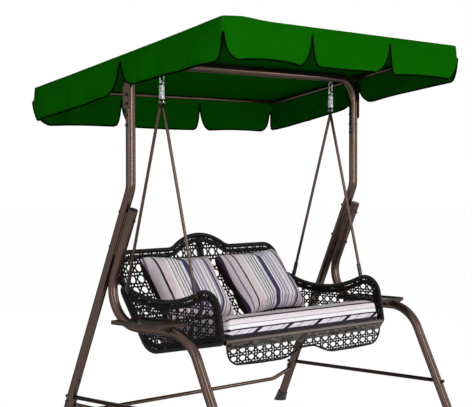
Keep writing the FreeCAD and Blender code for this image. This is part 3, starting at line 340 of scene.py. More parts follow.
def grown(loop, normal, distance):
    """A flat closed loop moved outwards in its own plane."""
    normal = Vector(normal)
    count = len(loop)
    spokes = [point - loop[0] for point in loop]
    area = sum(spokes[i].cross(spokes[(i + 1) % count]).dot(normal) for i in range(count))
    side = 1.0 if area > 0 else -1.0
    moved = []
    for i in range(count):
        along = (loop[(i + 1) % count] - loop[i - 1]).normalized()
        moved.append(loop[i] + along.cross(normal) * (distance * side))
    return moved


# --- shape trees ------------------------------------------------------------
def round_wire_tree():
    """A round bar along each line."""
    graph, given, result = shape_tree("round wire", [("Radius", FLOAT, 0.003), ("Sides", INT, 10)])
    profile = circle_of(graph, given["Radius"], given["Sides"])
    close_tree(graph, given, result, swept(graph, curve_of(graph, given["Geometry"]), profile))
    return graph.tree


def edge_piping_tree():
    """A round cord sewn along every open edge of a sheet."""
    graph, given, result = shape_tree("edge piping", [("Radius", FLOAT, 0.002), ("Sides", INT, 8)])
    uses = graph.add("GeometryNodeInputMeshEdgeNeighbors").outputs[0]
    open_edge = graph.add("FunctionNodeCompare", data_type="INT", operation="EQUAL")
    graph.feed(open_edge.inputs[2], uses)
    open_edge.inputs[3].default_value = 1
    inputs = {"Mesh": given["Geometry"], "Selection": open_edge.outputs[0]}
    curve = graph.add("GeometryNodeMeshToCurve", inputs).outputs[0]
    profile = circle_of(graph, given["Radius"], given["Sides"])
    close_tree(graph, given, result, swept(graph, curve, profile, caps=False))
    return graph.tree


def wrapped_bar_tree():
    """A bar bound with one strand that winds round it from end to end."""
    sizes = [("Bar Radius", FLOAT, 0.0085), ("Strand Radius", FLOAT, 0.0026), ("Wrap Pitch", FLOAT, 0.0054),
             ("Step", FLOAT, 0.00045), ("Sides", INT, 6)]
    graph, given, result = shape_tree("wrapped bar", sizes)
    curve = curve_of(graph, given["Geometry"])
    bar = swept(graph, curve, circle_of(graph, given["Bar Radius"], 12))
    fine = graph.add("GeometryNodeResampleCurve", mode="LENGTH")
    graph.feed(fine.inputs["Curve"], curve)
    graph.feed(fine.inputs["Length"], given["Step"])
    along = graph.add("GeometryNodeSplineParameter").outputs["Length"]
    turn = graph.math("MULTIPLY", graph.math("DIVIDE", along, given["Wrap Pitch"]), 2 * math.pi)
    normal = graph.add("GeometryNodeInputNormal").outputs[0]
    tangent = graph.add("GeometryNodeInputTangent").outputs[0]
    other = graph.vector("CROSS_PRODUCT", tangent, normal)
    around = graph.vector("ADD", graph.scaled(normal, graph.math("COSINE", turn)),
                          graph.scaled(other, graph.math("SINE", turn)))
    inputs = {"Geometry": fine.outputs[0], "Offset": graph.scaled(around, given["Bar Radius"])}
    helix = graph.add("GeometryNodeSetPosition", inputs).outputs[0]
    strand = swept(graph, helix, circle_of(graph, given["Strand Radius"], given["Sides"]))
    joined = graph.add("GeometryNodeJoinGeometry")
    for piece in (bar, strand):
        graph.tree.links.new(piece, joined.inputs[0])
    close_tree(graph, given, result, joined.outputs[0])
    return graph.tree


def strand_set(graph, given, angle, spacing, shift, base, swing, coordinate):
    """Parallel strands at one angle, with heights that rise and fall along them."""
    reach = given["Reach"]
    count = graph.math("MULTIPLY", graph.math("CEIL", graph.math("DIVIDE", reach, spacing)), 2.0)
    first = graph.math("MULTIPLY", graph.math("SUBTRACT", count, 1.0), graph.math("MULTIPLY", spacing, -0.5))
    inputs = {"Count": count, "Start Location": graph.combine(0.0, graph.math("ADD", first, shift), 0.0),
              "Offset": graph.combine(0.0, spacing, 0.0)}
    stations = graph.add("GeometryNodeMeshLine", inputs, mode="OFFSET").outputs[0]
    steps = graph.math("CEIL", graph.math("DIVIDE", graph.math("MULTIPLY", reach, 2.0), given["Step"]))
    start = graph.combine(graph.math("MULTIPLY", reach, -1.0), 0.0, 0.0)
    inputs = {"Count": graph.math("ADD", steps, 1.0), "Start Location": start,
              "Offset": graph.combine(given["Step"], 0.0, 0.0)}
    strand = graph.add("GeometryNodeMeshLine", inputs, mode="OFFSET").outputs[0]
    copies = graph.add("GeometryNodeInstanceOnPoints", {"Points": stations, "Instance": strand}).outputs[0]
    real = graph.add("GeometryNodeRealizeInstances", {"Geometry": copies}).outputs[0]
    inputs = {"Geometry": real, "Rotation": (0.0, 0.0, angle)}
    turned = graph.add("GeometryNodeTransform", inputs).outputs[0]
    place = graph.parts(graph.add("GeometryNodeInputPosition").outputs[0])[coordinate]
    turn = graph.math("DIVIDE", graph.math("MULTIPLY", place, 2 * math.pi), given["Pitch"])
    wave = graph.math("COSINE", turn)
    height = graph.math("MULTIPLY", graph.math("MULTIPLY_ADD", wave, swing, base), given["Rise"])
    inputs = {"Geometry": turned, "Offset": graph.combine(0.0, 0.0, height)}
    return graph.add("GeometryNodeSetPosition", inputs).outputs[0]


def cane_weave_tree():
    """Eight-way cane in the XY plane: pairs across and along, and crossed diagonals, inside an outline."""
    sizes = [("Outline", OBJECT, None), ("Pitch", FLOAT, 0.054), ("Pair Gap", FLOAT, 0.009),
             ("Strand Width", FLOAT, 0.006), ("Strand Thickness", FLOAT, 0.0018), ("Rise", FLOAT, 0.0018),
             ("Reach", FLOAT, 0.6), ("Step", FLOAT, 0.0068)]
    graph, given, result = shape_tree("cane weave", sizes)
    pitch = given["Pitch"]
    slant = graph.math("DIVIDE", pitch, math.sqrt(2))
    half_gap = graph.math("MULTIPLY", given["Pair Gap"], 0.5)
    other_half = graph.math("MULTIPLY", half_gap, -1.0)
    sets = graph.add("GeometryNodeJoinGeometry")
    for shift in (half_gap, other_half):
        up = strand_set(graph, given, math.pi / 2, pitch, shift, 0.0, -1.0, "Y")
        across = strand_set(graph, given, 0.0, pitch, shift, 0.0, 1.0, "X")
        graph.tree.links.new(up, sets.inputs[0])
        graph.tree.links.new(across, sets.inputs[0])
    for angle, base in ((math.pi / 4, -0.5), (-math.pi / 4, 0.5)):
        diagonal = strand_set(graph, given, angle, slant, 0.0, base, 0.5, "Y")
        graph.tree.links.new(diagonal, sets.inputs[0])
    edge = graph.add("GeometryNodeObjectInfo", {"Object": given["Outline"]}).outputs["Geometry"]
    place = graph.add("GeometryNodeInputPosition").outputs[0]
    above = graph.vector("ADD", place, (0.0, 0.0, 1.0))
    look = graph.add("GeometryNodeRaycast", {"Target Geometry": edge, "Source Position": above,
                                             "Ray Direction": (0.0, 0.0, -1.0), "Ray Length": 3.0})
    missed = graph.add("FunctionNodeBooleanMath", {0: look.outputs["Is Hit"]}, operation="NOT").outputs[0]
    inputs = {"Geometry": sets.outputs[0], "Selection": missed}
    inside = graph.add("GeometryNodeDeleteGeometry", inputs, domain="POINT").outputs[0]
    curve = curve_of(graph, inside)
    flat = graph.add("GeometryNodeSetCurveNormal", {"Curve": curve}, mode="Z_UP").outputs[0]
    size = graph.combine(given["Strand Width"], given["Strand Thickness"], 1.0)
    inputs = {"Geometry": circle_of(graph, 0.5, 6), "Scale": size}
    ribbon = graph.add("GeometryNodeTransform", inputs).outputs[0]
    close_tree(graph, given, result, swept(graph, flat, ribbon))
    return graph.tree


def follow_guide_tree():
    """Bends what lies flat along a guide line: Y becomes length along it, Z height over it."""
    graph, given, result = shape_tree("follow guide", [("Guide", OBJECT, None)])
    guide = graph.add("GeometryNodeObjectInfo", {"Object": given["Guide"]}).outputs["Geometry"]
    line = curve_of(graph, guide)
    place = graph.parts(graph.add("GeometryNodeInputPosition").outputs[0])
    found = graph.add("GeometryNodeSampleCurve", {"Curves": line, "Length": place["Y"]}, mode="LENGTH")
    found.use_all_curves = True
    over = graph.vector("CROSS_PRODUCT", (1.0, 0.0, 0.0), found.outputs["Tangent"])
    over = graph.scaled(graph.vector("NORMALIZE", over), place["Z"])
    lifted = graph.vector("ADD", found.outputs["Position"], over)
    spot = graph.vector("ADD", lifted, graph.combine(place["X"]))
    inputs = {"Geometry": given["Geometry"], "Position": spot}
    bent = graph.add("GeometryNodeSetPosition", inputs).outputs[0]
    close_tree(graph, given, result, bent)
    return graph.tree


def stitches_tree():
    """Short raised stitches along lines."""
    sizes = [("Length", FLOAT, 0.0045), ("Spacing", FLOAT, 0.0075), ("Thread", FLOAT, 0.0006)]
    graph, given, result = shape_tree("stitches", sizes)
    curve = curve_of(graph, given["Geometry"])
    spots = graph.add("GeometryNodeCurveToPoints", {"Curve": curve}, mode="LENGTH")
    graph.feed(spots.inputs["Length"], given["Spacing"])
    inputs = {"Vertices": 6, "Side Segments": 1, "Radius": given["Thread"], "Depth": given["Length"]}
    thread = graph.add("GeometryNodeMeshCylinder", inputs).outputs[0]
    along = graph.add("FunctionNodeAlignRotationToVector", {"Vector": spots.outputs["Tangent"]}, axis="Z")
    inputs = {"Points": spots.outputs[0], "Instance": thread, "Rotation": along.outputs[0]}
    copies = graph.add("GeometryNodeInstanceOnPoints", inputs).outputs[0]
    close_tree(graph, given, result, copies)
    return graph.tree


def plaited_band_tree():
    """Three strands plaited along a line, lying flat to one direction."""
    sizes = [("Width", FLOAT, 0.020), ("Strand Radius", FLOAT, 0.0033), ("Plait Pitch", FLOAT, 0.034),
             ("Depth", FLOAT, 0.0028), ("Facing", VECTOR, (0.0, -1.0, 0.0))]
    graph, given, result = shape_tree("plaited band", sizes)
    inputs = {"Curve": curve_of(graph, given["Geometry"]), "Length": PLAIT_STEP}
    fine = graph.add("GeometryNodeResampleCurve", inputs, mode="LENGTH").outputs[0]
    along = graph.add("GeometryNodeSplineParameter").outputs["Length"]
    turn = graph.math("MULTIPLY", graph.math("DIVIDE", along, given["Plait Pitch"]), 2 * math.pi)
    tangent = graph.add("GeometryNodeInputTangent").outputs[0]
    sideways = graph.vector("NORMALIZE", graph.vector("CROSS_PRODUCT", tangent, given["Facing"]))
    outward = graph.vector("CROSS_PRODUCT", sideways, tangent)
    profile = circle_of(graph, given["Strand Radius"], 7)
    joined = graph.add("GeometryNodeJoinGeometry")
    half = graph.math("MULTIPLY", given["Width"], 0.5)
    for strand in range(3):
        phase = graph.math("ADD", turn, strand * 2 * math.pi / 3)
        across = graph.math("MULTIPLY", graph.math("SINE", phase), half)
        up = graph.math("MULTIPLY", graph.math("SINE", graph.math("MULTIPLY", phase, 2.0)), given["Depth"])
        offset = graph.vector("ADD", graph.scaled(sideways, across), graph.scaled(outward, up))
        moved = graph.add("GeometryNodeSetPosition", {"Geometry": fine, "Offset": offset}).outputs[0]
        graph.tree.links.new(swept(graph, moved, profile), joined.inputs[0])
    close_tree(graph, given, result, joined.outputs[0])
    return graph.tree


ROUND_WIRE = round_wire_tree()
PLAITED_BAND = plaited_band_tree()
EDGE_PIPING = edge_piping_tree()
WRAPPED_BAR = wrapped_bar_tree()
CANE_WEAVE = cane_weave_tree()
FOLLOW_GUIDE = follow_guide_tree()
STITCHES = stitches_tree()


# --- shared surface effects -------------------------------------------------
def object_noise(graph, place, scale, detail=3.0, rough=0.55):
    inputs = {"Vector": place, "Scale": scale, "Detail": detail, "Roughness": rough}
    return graph.add("ShaderNodeTexNoise", inputs).outputs["Fac"]


def mixed(graph, factor, first, second, blend="MIX"):
    """Two colours blended by a factor."""
    made = graph.add("ShaderNodeMix", data_type="RGBA", blend_type=blend)
    graph.feed(made.inputs[0], factor)
    graph.feed(made.inputs[6], first)
    graph.feed(made.inputs[7], second)
    return made.outputs[2]


def paint_film():
    """Sprayed paint: cloudy tone, tiny orange peel, dust and fine scratches."""
    inputs = [("Color", COLOR, (0.1, 0.1, 0.1, 1)), ("Cloud Scale", FLOAT, 7.0),
              ("Cloud Amount", FLOAT, 0.25), ("Roughness", FLOAT, 0.3), ("Dust", FLOAT, 0.1)]
    outputs = [("Color", COLOR), ("Roughness", FLOAT), ("Height", FLOAT)]
    graph, given, result = new_tree("paint film", "ShaderNodeTree", inputs, outputs)
    place = graph.add("ShaderNodeTexCoord").outputs["Object"]
    cloud = object_noise(graph, place, given["Cloud Scale"])
    light = graph.math("MULTIPLY_ADD", graph.math("SUBTRACT", cloud, 0.5), given["Cloud Amount"], 1.0)
    toned = graph.scaled(given["Color"], light)
    speck = graph.math("GREATER_THAN", object_noise(graph, place, 900.0, 1.0), 0.68)
    dusty = graph.math("MULTIPLY", speck, given["Dust"])
    graph.feed(result.inputs["Color"], mixed(graph, dusty, toned, (0.45, 0.42, 0.38, 1)))
    rough = graph.math("MULTIPLY_ADD", object_noise(graph, place, 30.0), 0.16, given["Roughness"])
    graph.feed(result.inputs["Roughness"], graph.math("SUBTRACT", rough, 0.08, clamp=True))
    graph.feed(result.inputs["Height"], object_noise(graph, place, 420.0, 2.0))
    return graph.tree


def woven_cloth():
    """Plain woven threads, with slubs, a soft change of tone, and painted shade and highlight: raised
    threads lighter, the hollows between them darker.
    """
    inputs = [("Vector", VECTOR, None), ("Color", COLOR, (0.1, 0.3, 0.1, 1)), ("Threads", FLOAT, 900.0),
              ("Tone", FLOAT, 0.12), ("Thread Shade", FLOAT, 0.15), ("Wrinkle", FLOAT, 0.0)]
    outputs = [("Color", COLOR), ("Roughness", FLOAT), ("Height", FLOAT)]
    graph, given, result = new_tree("woven cloth", "ShaderNodeTree", inputs, outputs)
    place = graph.parts(graph.scaled(given["Vector"], given["Threads"]))
    warp = graph.math("ABSOLUTE", graph.math("SINE", place["X"]))
    weft = graph.math("ABSOLUTE", graph.math("SINE", graph.math("ADD", place["Y"], place["Z"])))
    over = graph.math("MULTIPLY", graph.math("SINE", place["X"]), graph.math("SINE", place["Y"]))
    picked = graph.math("GREATER_THAN", over, 0.0)
    height = graph.math("ADD", graph.math("MULTIPLY", warp, picked),
                        graph.math("MULTIPLY", weft, graph.math("SUBTRACT", 1.0, picked)))
    slub = object_noise(graph, given["Vector"], 60.0, 4.0)
    cloud = object_noise(graph, given["Vector"], 4.0, 2.0)
    tone = graph.math("MULTIPLY_ADD", graph.math("SUBTRACT", cloud, 0.5), given["Tone"], 1.0)
    # painted shade and highlight on the weave: raised threads lighter, the hollows between them darker
    tone = graph.math("MULTIPLY_ADD", graph.math("SUBTRACT", height, 0.6), given["Thread Shade"], tone)
    graph.feed(result.inputs["Color"], graph.scaled(given["Color"], tone))
    graph.feed(result.inputs["Roughness"], graph.math("MULTIPLY_ADD", slub, 0.2, 0.7))
    stretched = graph.vector("MULTIPLY", given["Vector"], (1.0, 1.0, 0.35))
    crease = graph.math("MULTIPLY", object_noise(graph, stretched, 16.0, 3.0), given["Wrinkle"])
    relief = graph.math("MULTIPLY_ADD", slub, 0.5, graph.math("ADD", height, crease))
    graph.feed(result.inputs["Height"], relief)
    return graph.tree


# width in millimetres and display colour of each stripe, over one repeat of the cloth
TICKING = [(8, "20161c"), (40, "f0dce2"), (14, "fffbfd"), (5, "2c2228"), (11, "efe4ea"), (6, "fbf6f8"),
           (5, "3c323a"), (12, "fdf9fb"), (5, "2e2630"), (12, "f8f3f8"), (6, "463c50"), (20, "f2ecf8"),
           (30, "41355a"), (13, "f6f1fb"), (5, "6a6078"), (9, "fbf7fb"), (13, "aea2ba"), (14, "e4dcea"),
           (6, "5c526a"), (24, "f8f0f4"), (6, "7a7084"), (13, "fdf8fb"), (14, "aa9fb4"), (12, "3c3050"),
           (10, "f0e0e8"), (6, "7e7488"), (26, "e8d8df")]


def from_hex(text):
    """A linear colour from a six-figure display colour."""
    values = [int(text[i:i + 2], 16) / 255 for i in (0, 2, 4)]
    return tuple(v / 12.92 if v <= 0.04045 else ((v + 0.055) / 1.055) ** 2.4 for v in values) + (1.0,)


def stepped_ramp(graph, factor, bands):
    """A display colour that changes sharply at each of the given stops."""
    ramp = graph.add("ShaderNodeValToRGB", {"Fac": factor})
    ramp.color_ramp.interpolation = "CONSTANT"
    stops = ramp.color_ramp.elements
    for index, (where, colour) in enumerate(bands):
        stop = stops[0] if index == 0 else stops.new(where)
        stop.position = where
        stop.color = from_hex(colour)
    stops.remove(stops[-1])
    return ramp.outputs["Color"]


def ticking_stripes():
    """Stripes of uneven width that repeat along one axis."""
    inputs = [("Along", FLOAT, 0.0), ("Repeat", FLOAT, 0.34)]
    graph, given, result = new_tree("ticking stripes", "ShaderNodeTree", inputs, [("Color", COLOR)])
    where = graph.math("FRACT", graph.math("DIVIDE", given["Along"], given["Repeat"]))
    total = sum(width for width, _ in TICKING)
    bands = []
    start = 0.0
    for width, colour in TICKING:
        bands.append((start / total, colour))
        start += width
    graph.feed(result.inputs["Color"], stepped_ramp(graph, where, bands))
    return graph.tree


def cane_fibre():
    """Moulded cane strand: long fine grooves, dark in the hollows, with worn lighter backs."""
    inputs = [("Color", COLOR, (0.02, 0.02, 0.02, 1)), ("Worn Color", COLOR, (0.1, 0.09, 0.08, 1)),
              ("Groove Scale", FLOAT, 500.0), ("Wear", FLOAT, 0.4)]
    outputs = [("Color", COLOR), ("Roughness", FLOAT), ("Height", FLOAT)]
    graph, given, result = new_tree("cane fibre", "ShaderNodeTree", inputs, outputs)
    place = graph.add("ShaderNodeTexCoord").outputs["Object"]
    groove = object_noise(graph, place, given["Groove Scale"], 2.0)
    patch = object_noise(graph, place, 38.0, 2.0)
    worn = graph.math("MULTIPLY", graph.math("SUBTRACT", graph.math("ADD", groove, patch), 0.85, clamp=True),
                      given["Wear"])
    graph.feed(result.inputs["Color"], mixed(graph, worn, given["Color"], given["Worn Color"]))
    graph.feed(result.inputs["Roughness"], graph.math("MULTIPLY_ADD", patch, 0.3, 0.2))
    graph.feed(result.inputs["Height"], groove)
    return graph.tree


PAINT_FILM = paint_film()
WOVEN_CLOTH = woven_cloth()
TICKING_STRIPES = ticking_stripes()
CANE_FIBRE = cane_fibre()


# --- materials --------------------------------------------------------------
def empty_graph(owner):
    """The node tree of a material or a world, with nothing in it."""
    owner.use_nodes = True
    owner.node_tree.nodes.clear()
    return Graph(owner.node_tree)


def new_material(name):
    material = bpy.data.materials.new(name)
    graph = empty_graph(material)
    shader = graph.add("ShaderNodeBsdfPrincipled")
    graph.add("ShaderNodeOutputMaterial", {"Surface": shader.outputs[0]})
    return material, graph, shader


def use_group(graph, group, values):
    """A shared surface effect with its named inputs set."""
    made = graph.add("ShaderNodeGroup", node_tree=group)
    for key, value in values.items():
        graph.feed(made.inputs[key], value)
    return made.outputs


def set_surface(graph, shader, surface, bump, **sockets):
    """Gives the shader a group's colour, roughness and relief, and sets its other sockets."""
    graph.feed(shader.inputs["Base Color"], surface["Color"])
    graph.feed(shader.inputs["Roughness"], surface["Roughness"])
    inputs = {"Height": surface["Height"], "Distance": bump, "Strength": 1.0}
    graph.feed(shader.inputs["Normal"], graph.add("ShaderNodeBump", inputs).outputs[0])
    for key, value in sockets.items():
        shader.inputs[key.replace("_", " ")].default_value = value


def painted(name, color, roughness, metallic=0.0, coat=0.0, cloud=0.25, dust=0.05, bump=0.00004, **sockets):
    material, graph, shader = new_material(name)
    values = {"Color": color + (1.0,), "Roughness": roughness, "Cloud Amount": cloud, "Dust": dust}
    film = use_group(graph, PAINT_FILM, values)
    set_surface(graph, shader, film, bump, Metallic=metallic, Coat_Weight=coat, Coat_Roughness=0.08,
                **sockets)
    return material


def cloth(name, color, threads=900.0, tone=0.12, bump=0.0003, wrinkle=0.0):
    material, graph, shader = new_material(name)
    place = graph.add("ShaderNodeTexCoord").outputs["Object"]
    values = {"Vector": place, "Color": color + (1.0,), "Threads": threads, "Tone": tone, "Wrinkle": wrinkle}
    set_surface(graph, shader, use_group(graph, WOVEN_CLOTH, values), bump, Specular_IOR_Level=0.0)
    return material


def ticking_cloth(graph, shader, place, colour, tone):
    """The woven surface of both striped cloths, over a colour that is striped already."""
    values = {"Vector": place, "Color": colour, "Threads": 2200.0, "Tone": tone, "Thread Shade": 0.1}
    woven = use_group(graph, WOVEN_CLOTH, values)
    set_surface(graph, shader, woven, 0.00025, Sheen_Weight=0.1, Specular_IOR_Level=0.2)


def pillow_stripes(name, shift):
    """Cloth striped along the first value of the stored place."""
    material, graph, shader = new_material(name)
    place = graph.add("ShaderNodeAttribute", attribute_name=FLAT_PLACE).outputs["Vector"]
    along = graph.math("ADD", graph.parts(place)["X"], shift)
    stripes = use_group(graph, TICKING_STRIPES, {"Along": along, "Repeat": PILLOW_REPEAT})["Color"]
    ticking_cloth(graph, shader, place, stripes, 0.08)
    return material


def cane(name, color, worn, wear, bump=0.0003, coat=0.0):
    material, graph, shader = new_material(name)
    values = {"Color": color + (1.0,), "Worn Color": worn + (1.0,), "Wear": wear}
    fibre = use_group(graph, CANE_FIBRE, values)
    set_surface(graph, shader, fibre, bump, Coat_Weight=coat, Coat_Roughness=0.2, Specular_IOR_Level=0.13)
    return material


EDGE_TONE = (0.16, 0.11, 0.09, 1.0)
BRONZE = painted("bronze paint", (0.090, 0.060, 0.047), 0.22, metallic=0.85, coat=0.05, dust=0.0,
                 Specular_IOR_Level=0.3, Specular_Tint=EDGE_TONE)
DARK_BRONZE = painted("dark bronze paint", (0.022, 0.014, 0.011), 0.26, metallic=0.7, coat=0.04, dust=0.0,
                      Specular_IOR_Level=0.3, Specular_Tint=EDGE_TONE)
TRAY_PAINT = painted("tray paint", (0.052, 0.034, 0.027), 0.30, metallic=0.6, coat=0.1, dust=0.0,
                     Specular_Tint=EDGE_TONE)
ZINC = painted("zinc plate", (0.42, 0.41, 0.39), 0.34, metallic=1.0, cloud=0.4, dust=0.02)
BOLT_STEEL = painted("dark plated steel", (0.05, 0.042, 0.038), 0.3, metallic=1.0, cloud=0.4, dust=0.02)
BRIGHT = painted("bright plate", (0.82, 0.82, 0.82), 0.12, metallic=1.0, cloud=0.2, dust=0.02)
RUBBER = painted("black rubber", (0.010, 0.009, 0.009), 0.55, cloud=0.4, dust=0.08, bump=0.0002)
PLASTIC = painted("black plastic", (0.010, 0.008, 0.008), 0.4, cloud=0.3, dust=0.04, bump=0.0001)
SLEEVE = painted("sleeve plastic", (0.004, 0.003, 0.003), 0.4, cloud=0.3, dust=0.04, bump=0.0001)
CANOPY_CLOTH = cloth("canopy cloth", (0.0038, 0.108, 0.0006), threads=1400.0, bump=0.0002, wrinkle=5.0)
# the same green cloth made darker for the canopy's underside: painted shade under the canopy
UNDERSIDE_SHADE_CLOTH = cloth("canopy underside shade", (0.0016, 0.066, 0.0004), threads=1400.0, bump=0.0002, wrinkle=5.0)
PIPING_CLOTH = cloth("black piping", (0.0025, 0.0022, 0.0022), threads=3000.0, bump=0.0002)
THREAD = cloth("sewing thread", (0.002, 0.045, 0.002), threads=5000.0, bump=0.0001)
PILLOW_BACK = cloth("pillow back cloth", (0.040, 0.020, 0.022), threads=2200.0, bump=0.0003, wrinkle=2.0)
CANE = cane("dark cane", (0.0022, 0.0014, 0.0013), (0.034, 0.028, 0.026), 0.5)
RIM_CANE = cane("rim cane", (0.0024, 0.0015, 0.0015), (0.040, 0.036, 0.036), 0.5, coat=0.12)
BAND_CANE = cane("band cane", (0.010, 0.008, 0.007), (0.36, 0.32, 0.30), 1.6)
FRONT_EDGE = painted("worn front rail", (0.085, 0.060, 0.050), 0.36, metallic=0.3, coat=0.1, cloud=0.7,
                     dust=0.12)


def paint_cad_nodes():
    """Gives every CAD node that stays visible the finish of its kind."""
    kinds = [(BOLT_STEEL, ("upright_bolts", "leg_bolts", "stretcher_bolts", "tray_bolts", "rod_bolts")),
             (ZINC, ("beam_eyes", "hanger_links", "hanger_pins")),
             (DARK_BRONZE, ("side_stretcher",)),
             (TRAY_PAINT, ("tray_left", "tray_right")),
             (RUBBER, ("foot_cap", "front_leg_caps")),
             (PLASTIC, ("canopy_knob",)),
             (FRONT_EDGE, ("seat_frame",))]
    for name, node in nodes.items():
        chosen = next((m for m, starts in kinds if name.startswith(starts)), BRONZE)
        node.data.materials.clear()
        paint(node, chosen)


# --- the bench's curved back ------------------------------------------------
def back_profile():
    """Length along, Y and Z of the back's middle line, from the deck's rear end up."""
    def heading(angle):
        return np.array([math.cos(angle), math.sin(angle)])

    def turning(start, first, last, radius, steps):
        angles = np.linspace(first, last, steps)
        centre = start + radius * np.array([-math.sin(first), math.cos(first)])
        return [centre + radius * np.array([math.sin(a), -math.cos(a)]) for a in angles]

    slope = heading(-DECK_SLOPE)
    start = np.array([DECK_FRONT.y, DECK_FRONT.z]) + slope * DECK_LENGTH
    line = turning(start, -DECK_SLOPE, BACK_ANGLE, BACK_BEND_R, 30)
    line += [line[-1] + heading(BACK_ANGLE) * BACK_STRAIGHT * k / 20 for k in range(1, 21)]
    line += turning(line[-1], BACK_ANGLE, BACK_TOP_ANGLE, BACK_CURVE_R, 24)[1:]
    line += [line[-1] + heading(BACK_TOP_ANGLE) * 0.01 * k for k in range(1, 16)]
    line = np.array(line)
    steps = np.linalg.norm(np.diff(line, axis=0), axis=1)
    return np.concatenate([[0.0], np.cumsum(steps)]), line[:, 0], line[:, 1]


BACK_S, BACK_Y, BACK_Z = back_profile()
RISING = slice(20, None)              # past the lowest point of the bend, where heights only grow


def on_back(x, z):
    """The point of the back's middle surface at a height."""
    return Vector((x, float(np.interp(z, BACK_Z[RISING], BACK_Y[RISING])), z))


def up_back(z):
    """Length along the back's middle line at a height."""
    return float(np.interp(z, BACK_Z[RISING], BACK_S[RISING]))


def back_top(inset=0.0):
    """Half of the back's upper outline, X and Z, from the arm up and in to the middle of the hump."""
    crown_z = BACK_HUMP_Z - HUMP_R
    flare_z = BACK_SHOULDER_Z + HUMP_FLARE_R
    span = HUMP_R + HUMP_FLARE_R
    flare_x = math.sqrt(span ** 2 - (flare_z - crown_z) ** 2)
    turn = math.atan2(flare_x, flare_z - crown_z)
    corner_x, corner_z = ARM_X - BACK_CORNER_R, BACK_SHOULDER_Z - BACK_CORNER_R
    corner_r, flare_r, hump_r = BACK_CORNER_R - inset, HUMP_FLARE_R + inset, HUMP_R - inset
    line = [(ARM_X - inset, z) for z in np.linspace(0.60, corner_z, 8)[:-1]]
    for angle in np.linspace(0, math.pi / 2, 14):
        line.append((corner_x + corner_r * math.cos(angle), corner_z + corner_r * math.sin(angle)))
    for angle in np.linspace(0, turn, 12):
        line.append((flare_x - flare_r * math.sin(angle), flare_z - flare_r * math.cos(angle)))
    for angle in np.linspace(turn, 0, 16)[1:]:
        line.append((hump_r * math.sin(angle), crown_z + hump_r * math.cos(angle)))
    return line


def mirrored(line):
    """A half outline made whole, from one side over the middle to the other."""
    return [(-x, z) for x, z in line] + [(x, z) for x, z in reversed(line[:-1])]


def woven_panel(name, outline, pitch, reach, squeeze=1.0, origin=(0.0, 0.0), guide=None, place=None,
                **sizes):
    """A piece of cane weave inside a flat outline (pattern X and Y), then bent or placed."""
    points = [(u - origin[0], (v - origin[1]) / squeeze, 0.0) for u, v in outline]
    edge = show(name + "_edge", mesh_from(name + "_edge", points, faces=[tuple(range(len(points)))]))
    values = {"Outline": edge, "Pitch": pitch, "Reach": reach, "Step": pitch / 8, "Material": CANE}
    values.update({key.replace("_", " "): value for key, value in sizes.items()})
    piece = grow(name, mesh_from(name + "_seed", [(0, 0, 0)]), [(CANE_WEAVE, values)])
    bpy.data.objects.remove(edge)
    flat = coordinates(piece.data)
    flat = flat * (1.0, squeeze, 1.0) + (origin[0], origin[1], 0.0)
    if place is not None:
        flat = flat @ np.array(place.to_3x3()).T + np.array(place.translation)
    move_points(piece.data, flat)
    if guide is not None:
        mesh = piece.data
        bpy.data.objects.remove(piece)
        piece = grow(name, mesh, [(FOLLOW_GUIDE, {"Guide": guide, "Material": CANE})])
    return piece


def make_back():
    """The curved weave of the back, its wrapped rim and the plaited bands."""
    points = [(0.0, y, z) for y, z in zip(BACK_Y, BACK_Z)]
    guide = show("back_guide", path_mesh("back_guide", [(points, False)]))
    arm_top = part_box("back_frame")[0].z
    top = [(x, up_back(z)) for x, z in mirrored(back_top()) if z > arm_top - 0.02]
    inner = ARM_X - RIM_R
    outline = [(-inner, 0.005), (inner, 0.005), (inner, top[-1][1])] + top[::-1] + [(-inner, top[0][1])]
    weave = woven_panel("back_weave", outline[::-1], pitch=0.054, reach=0.72, origin=(0.027, 0.30),
                        guide=guide, Strand_Width=0.0076, Pair_Gap=0.0150)
    ride(weave, "seat", "wicker", "back_panel")
    bpy.data.objects.remove(guide)
    line = [on_back(x, z) for x, z in mirrored(back_top()) if z > arm_top - 0.012]
    rim = grow("back_rim", path_mesh("back_rim", [(resampled(line, 0.004, False), False)]),
               [(WRAPPED_BAR, {"Material": RIM_CANE})])
    ride(rim, "seat", "wicker_rim", "back_frame")
    low = arm_top - 0.02
    border = [on_back(x, z) for x, z in mirrored(back_top(0.0245)) if z > low]
    spine = [on_back(0.0, z) for z in np.linspace(0.585, BACK_HUMP_Z - 0.035, 40)]
    lines = [(resampled(border, 0.006, False), False)]
    for offset in (-0.011, 0.011):
        lines.append(([p + Vector((offset, 0, 0)) for p in spine], False))
    band = grow("back_band", path_mesh("back_band", lines), [(PLAITED_BAND, {"Material": CANE})])
    ride(band, "seat", "wicker_rim")


def make_arms():
    """Weave, rim and plaited band of both arms, each in its own upright plane."""
    for name, side in SIDES:
        facing = (side, 0, 0)
        edge = outline_of("arm_panel_" + name, facing)
        x = side * ARM_X
        line = [Vector((x, p.y, p.z)) for p in resampled(edge, 0.004, True)]
        axis = grown(line, facing, RIM_R)
        rim = grow("arm_rim_" + name, path_mesh("arm_rim", [(axis, True)]),
                   [(WRAPPED_BAR, {"Material": RIM_CANE})])
        ride(rim, "seat", "wicker_rim", "arm_frame_" + name)
        place = Matrix(((0, 0, side, x), (1, 0, 0, 0), (0, 1, 0, 0), (0, 0, 0, 1)))
        outline = [(p.y, p.z) for p in grown(line, facing, RIM_R * 0.8)]
        weave = woven_panel("arm_weave_" + name, outline, pitch=0.045, reach=0.5, squeeze=0.85,
                            origin=(0.02, 0.55), place=place, Strand_Width=0.0070, Pair_Gap=0.0130)
        ride(weave, "seat", "wicker", "arm_panel_" + name)
        border = grown(axis, facing, -0.0235)
        values = {"Material": CANE, "Facing": facing, "Width": 0.017, "Plait Pitch": 0.030}
        band = grow("arm_band_" + name, path_mesh("arm_band", [(border, True)]), [(PLAITED_BAND, values)])
        ride(band, "seat", "wicker_rim")


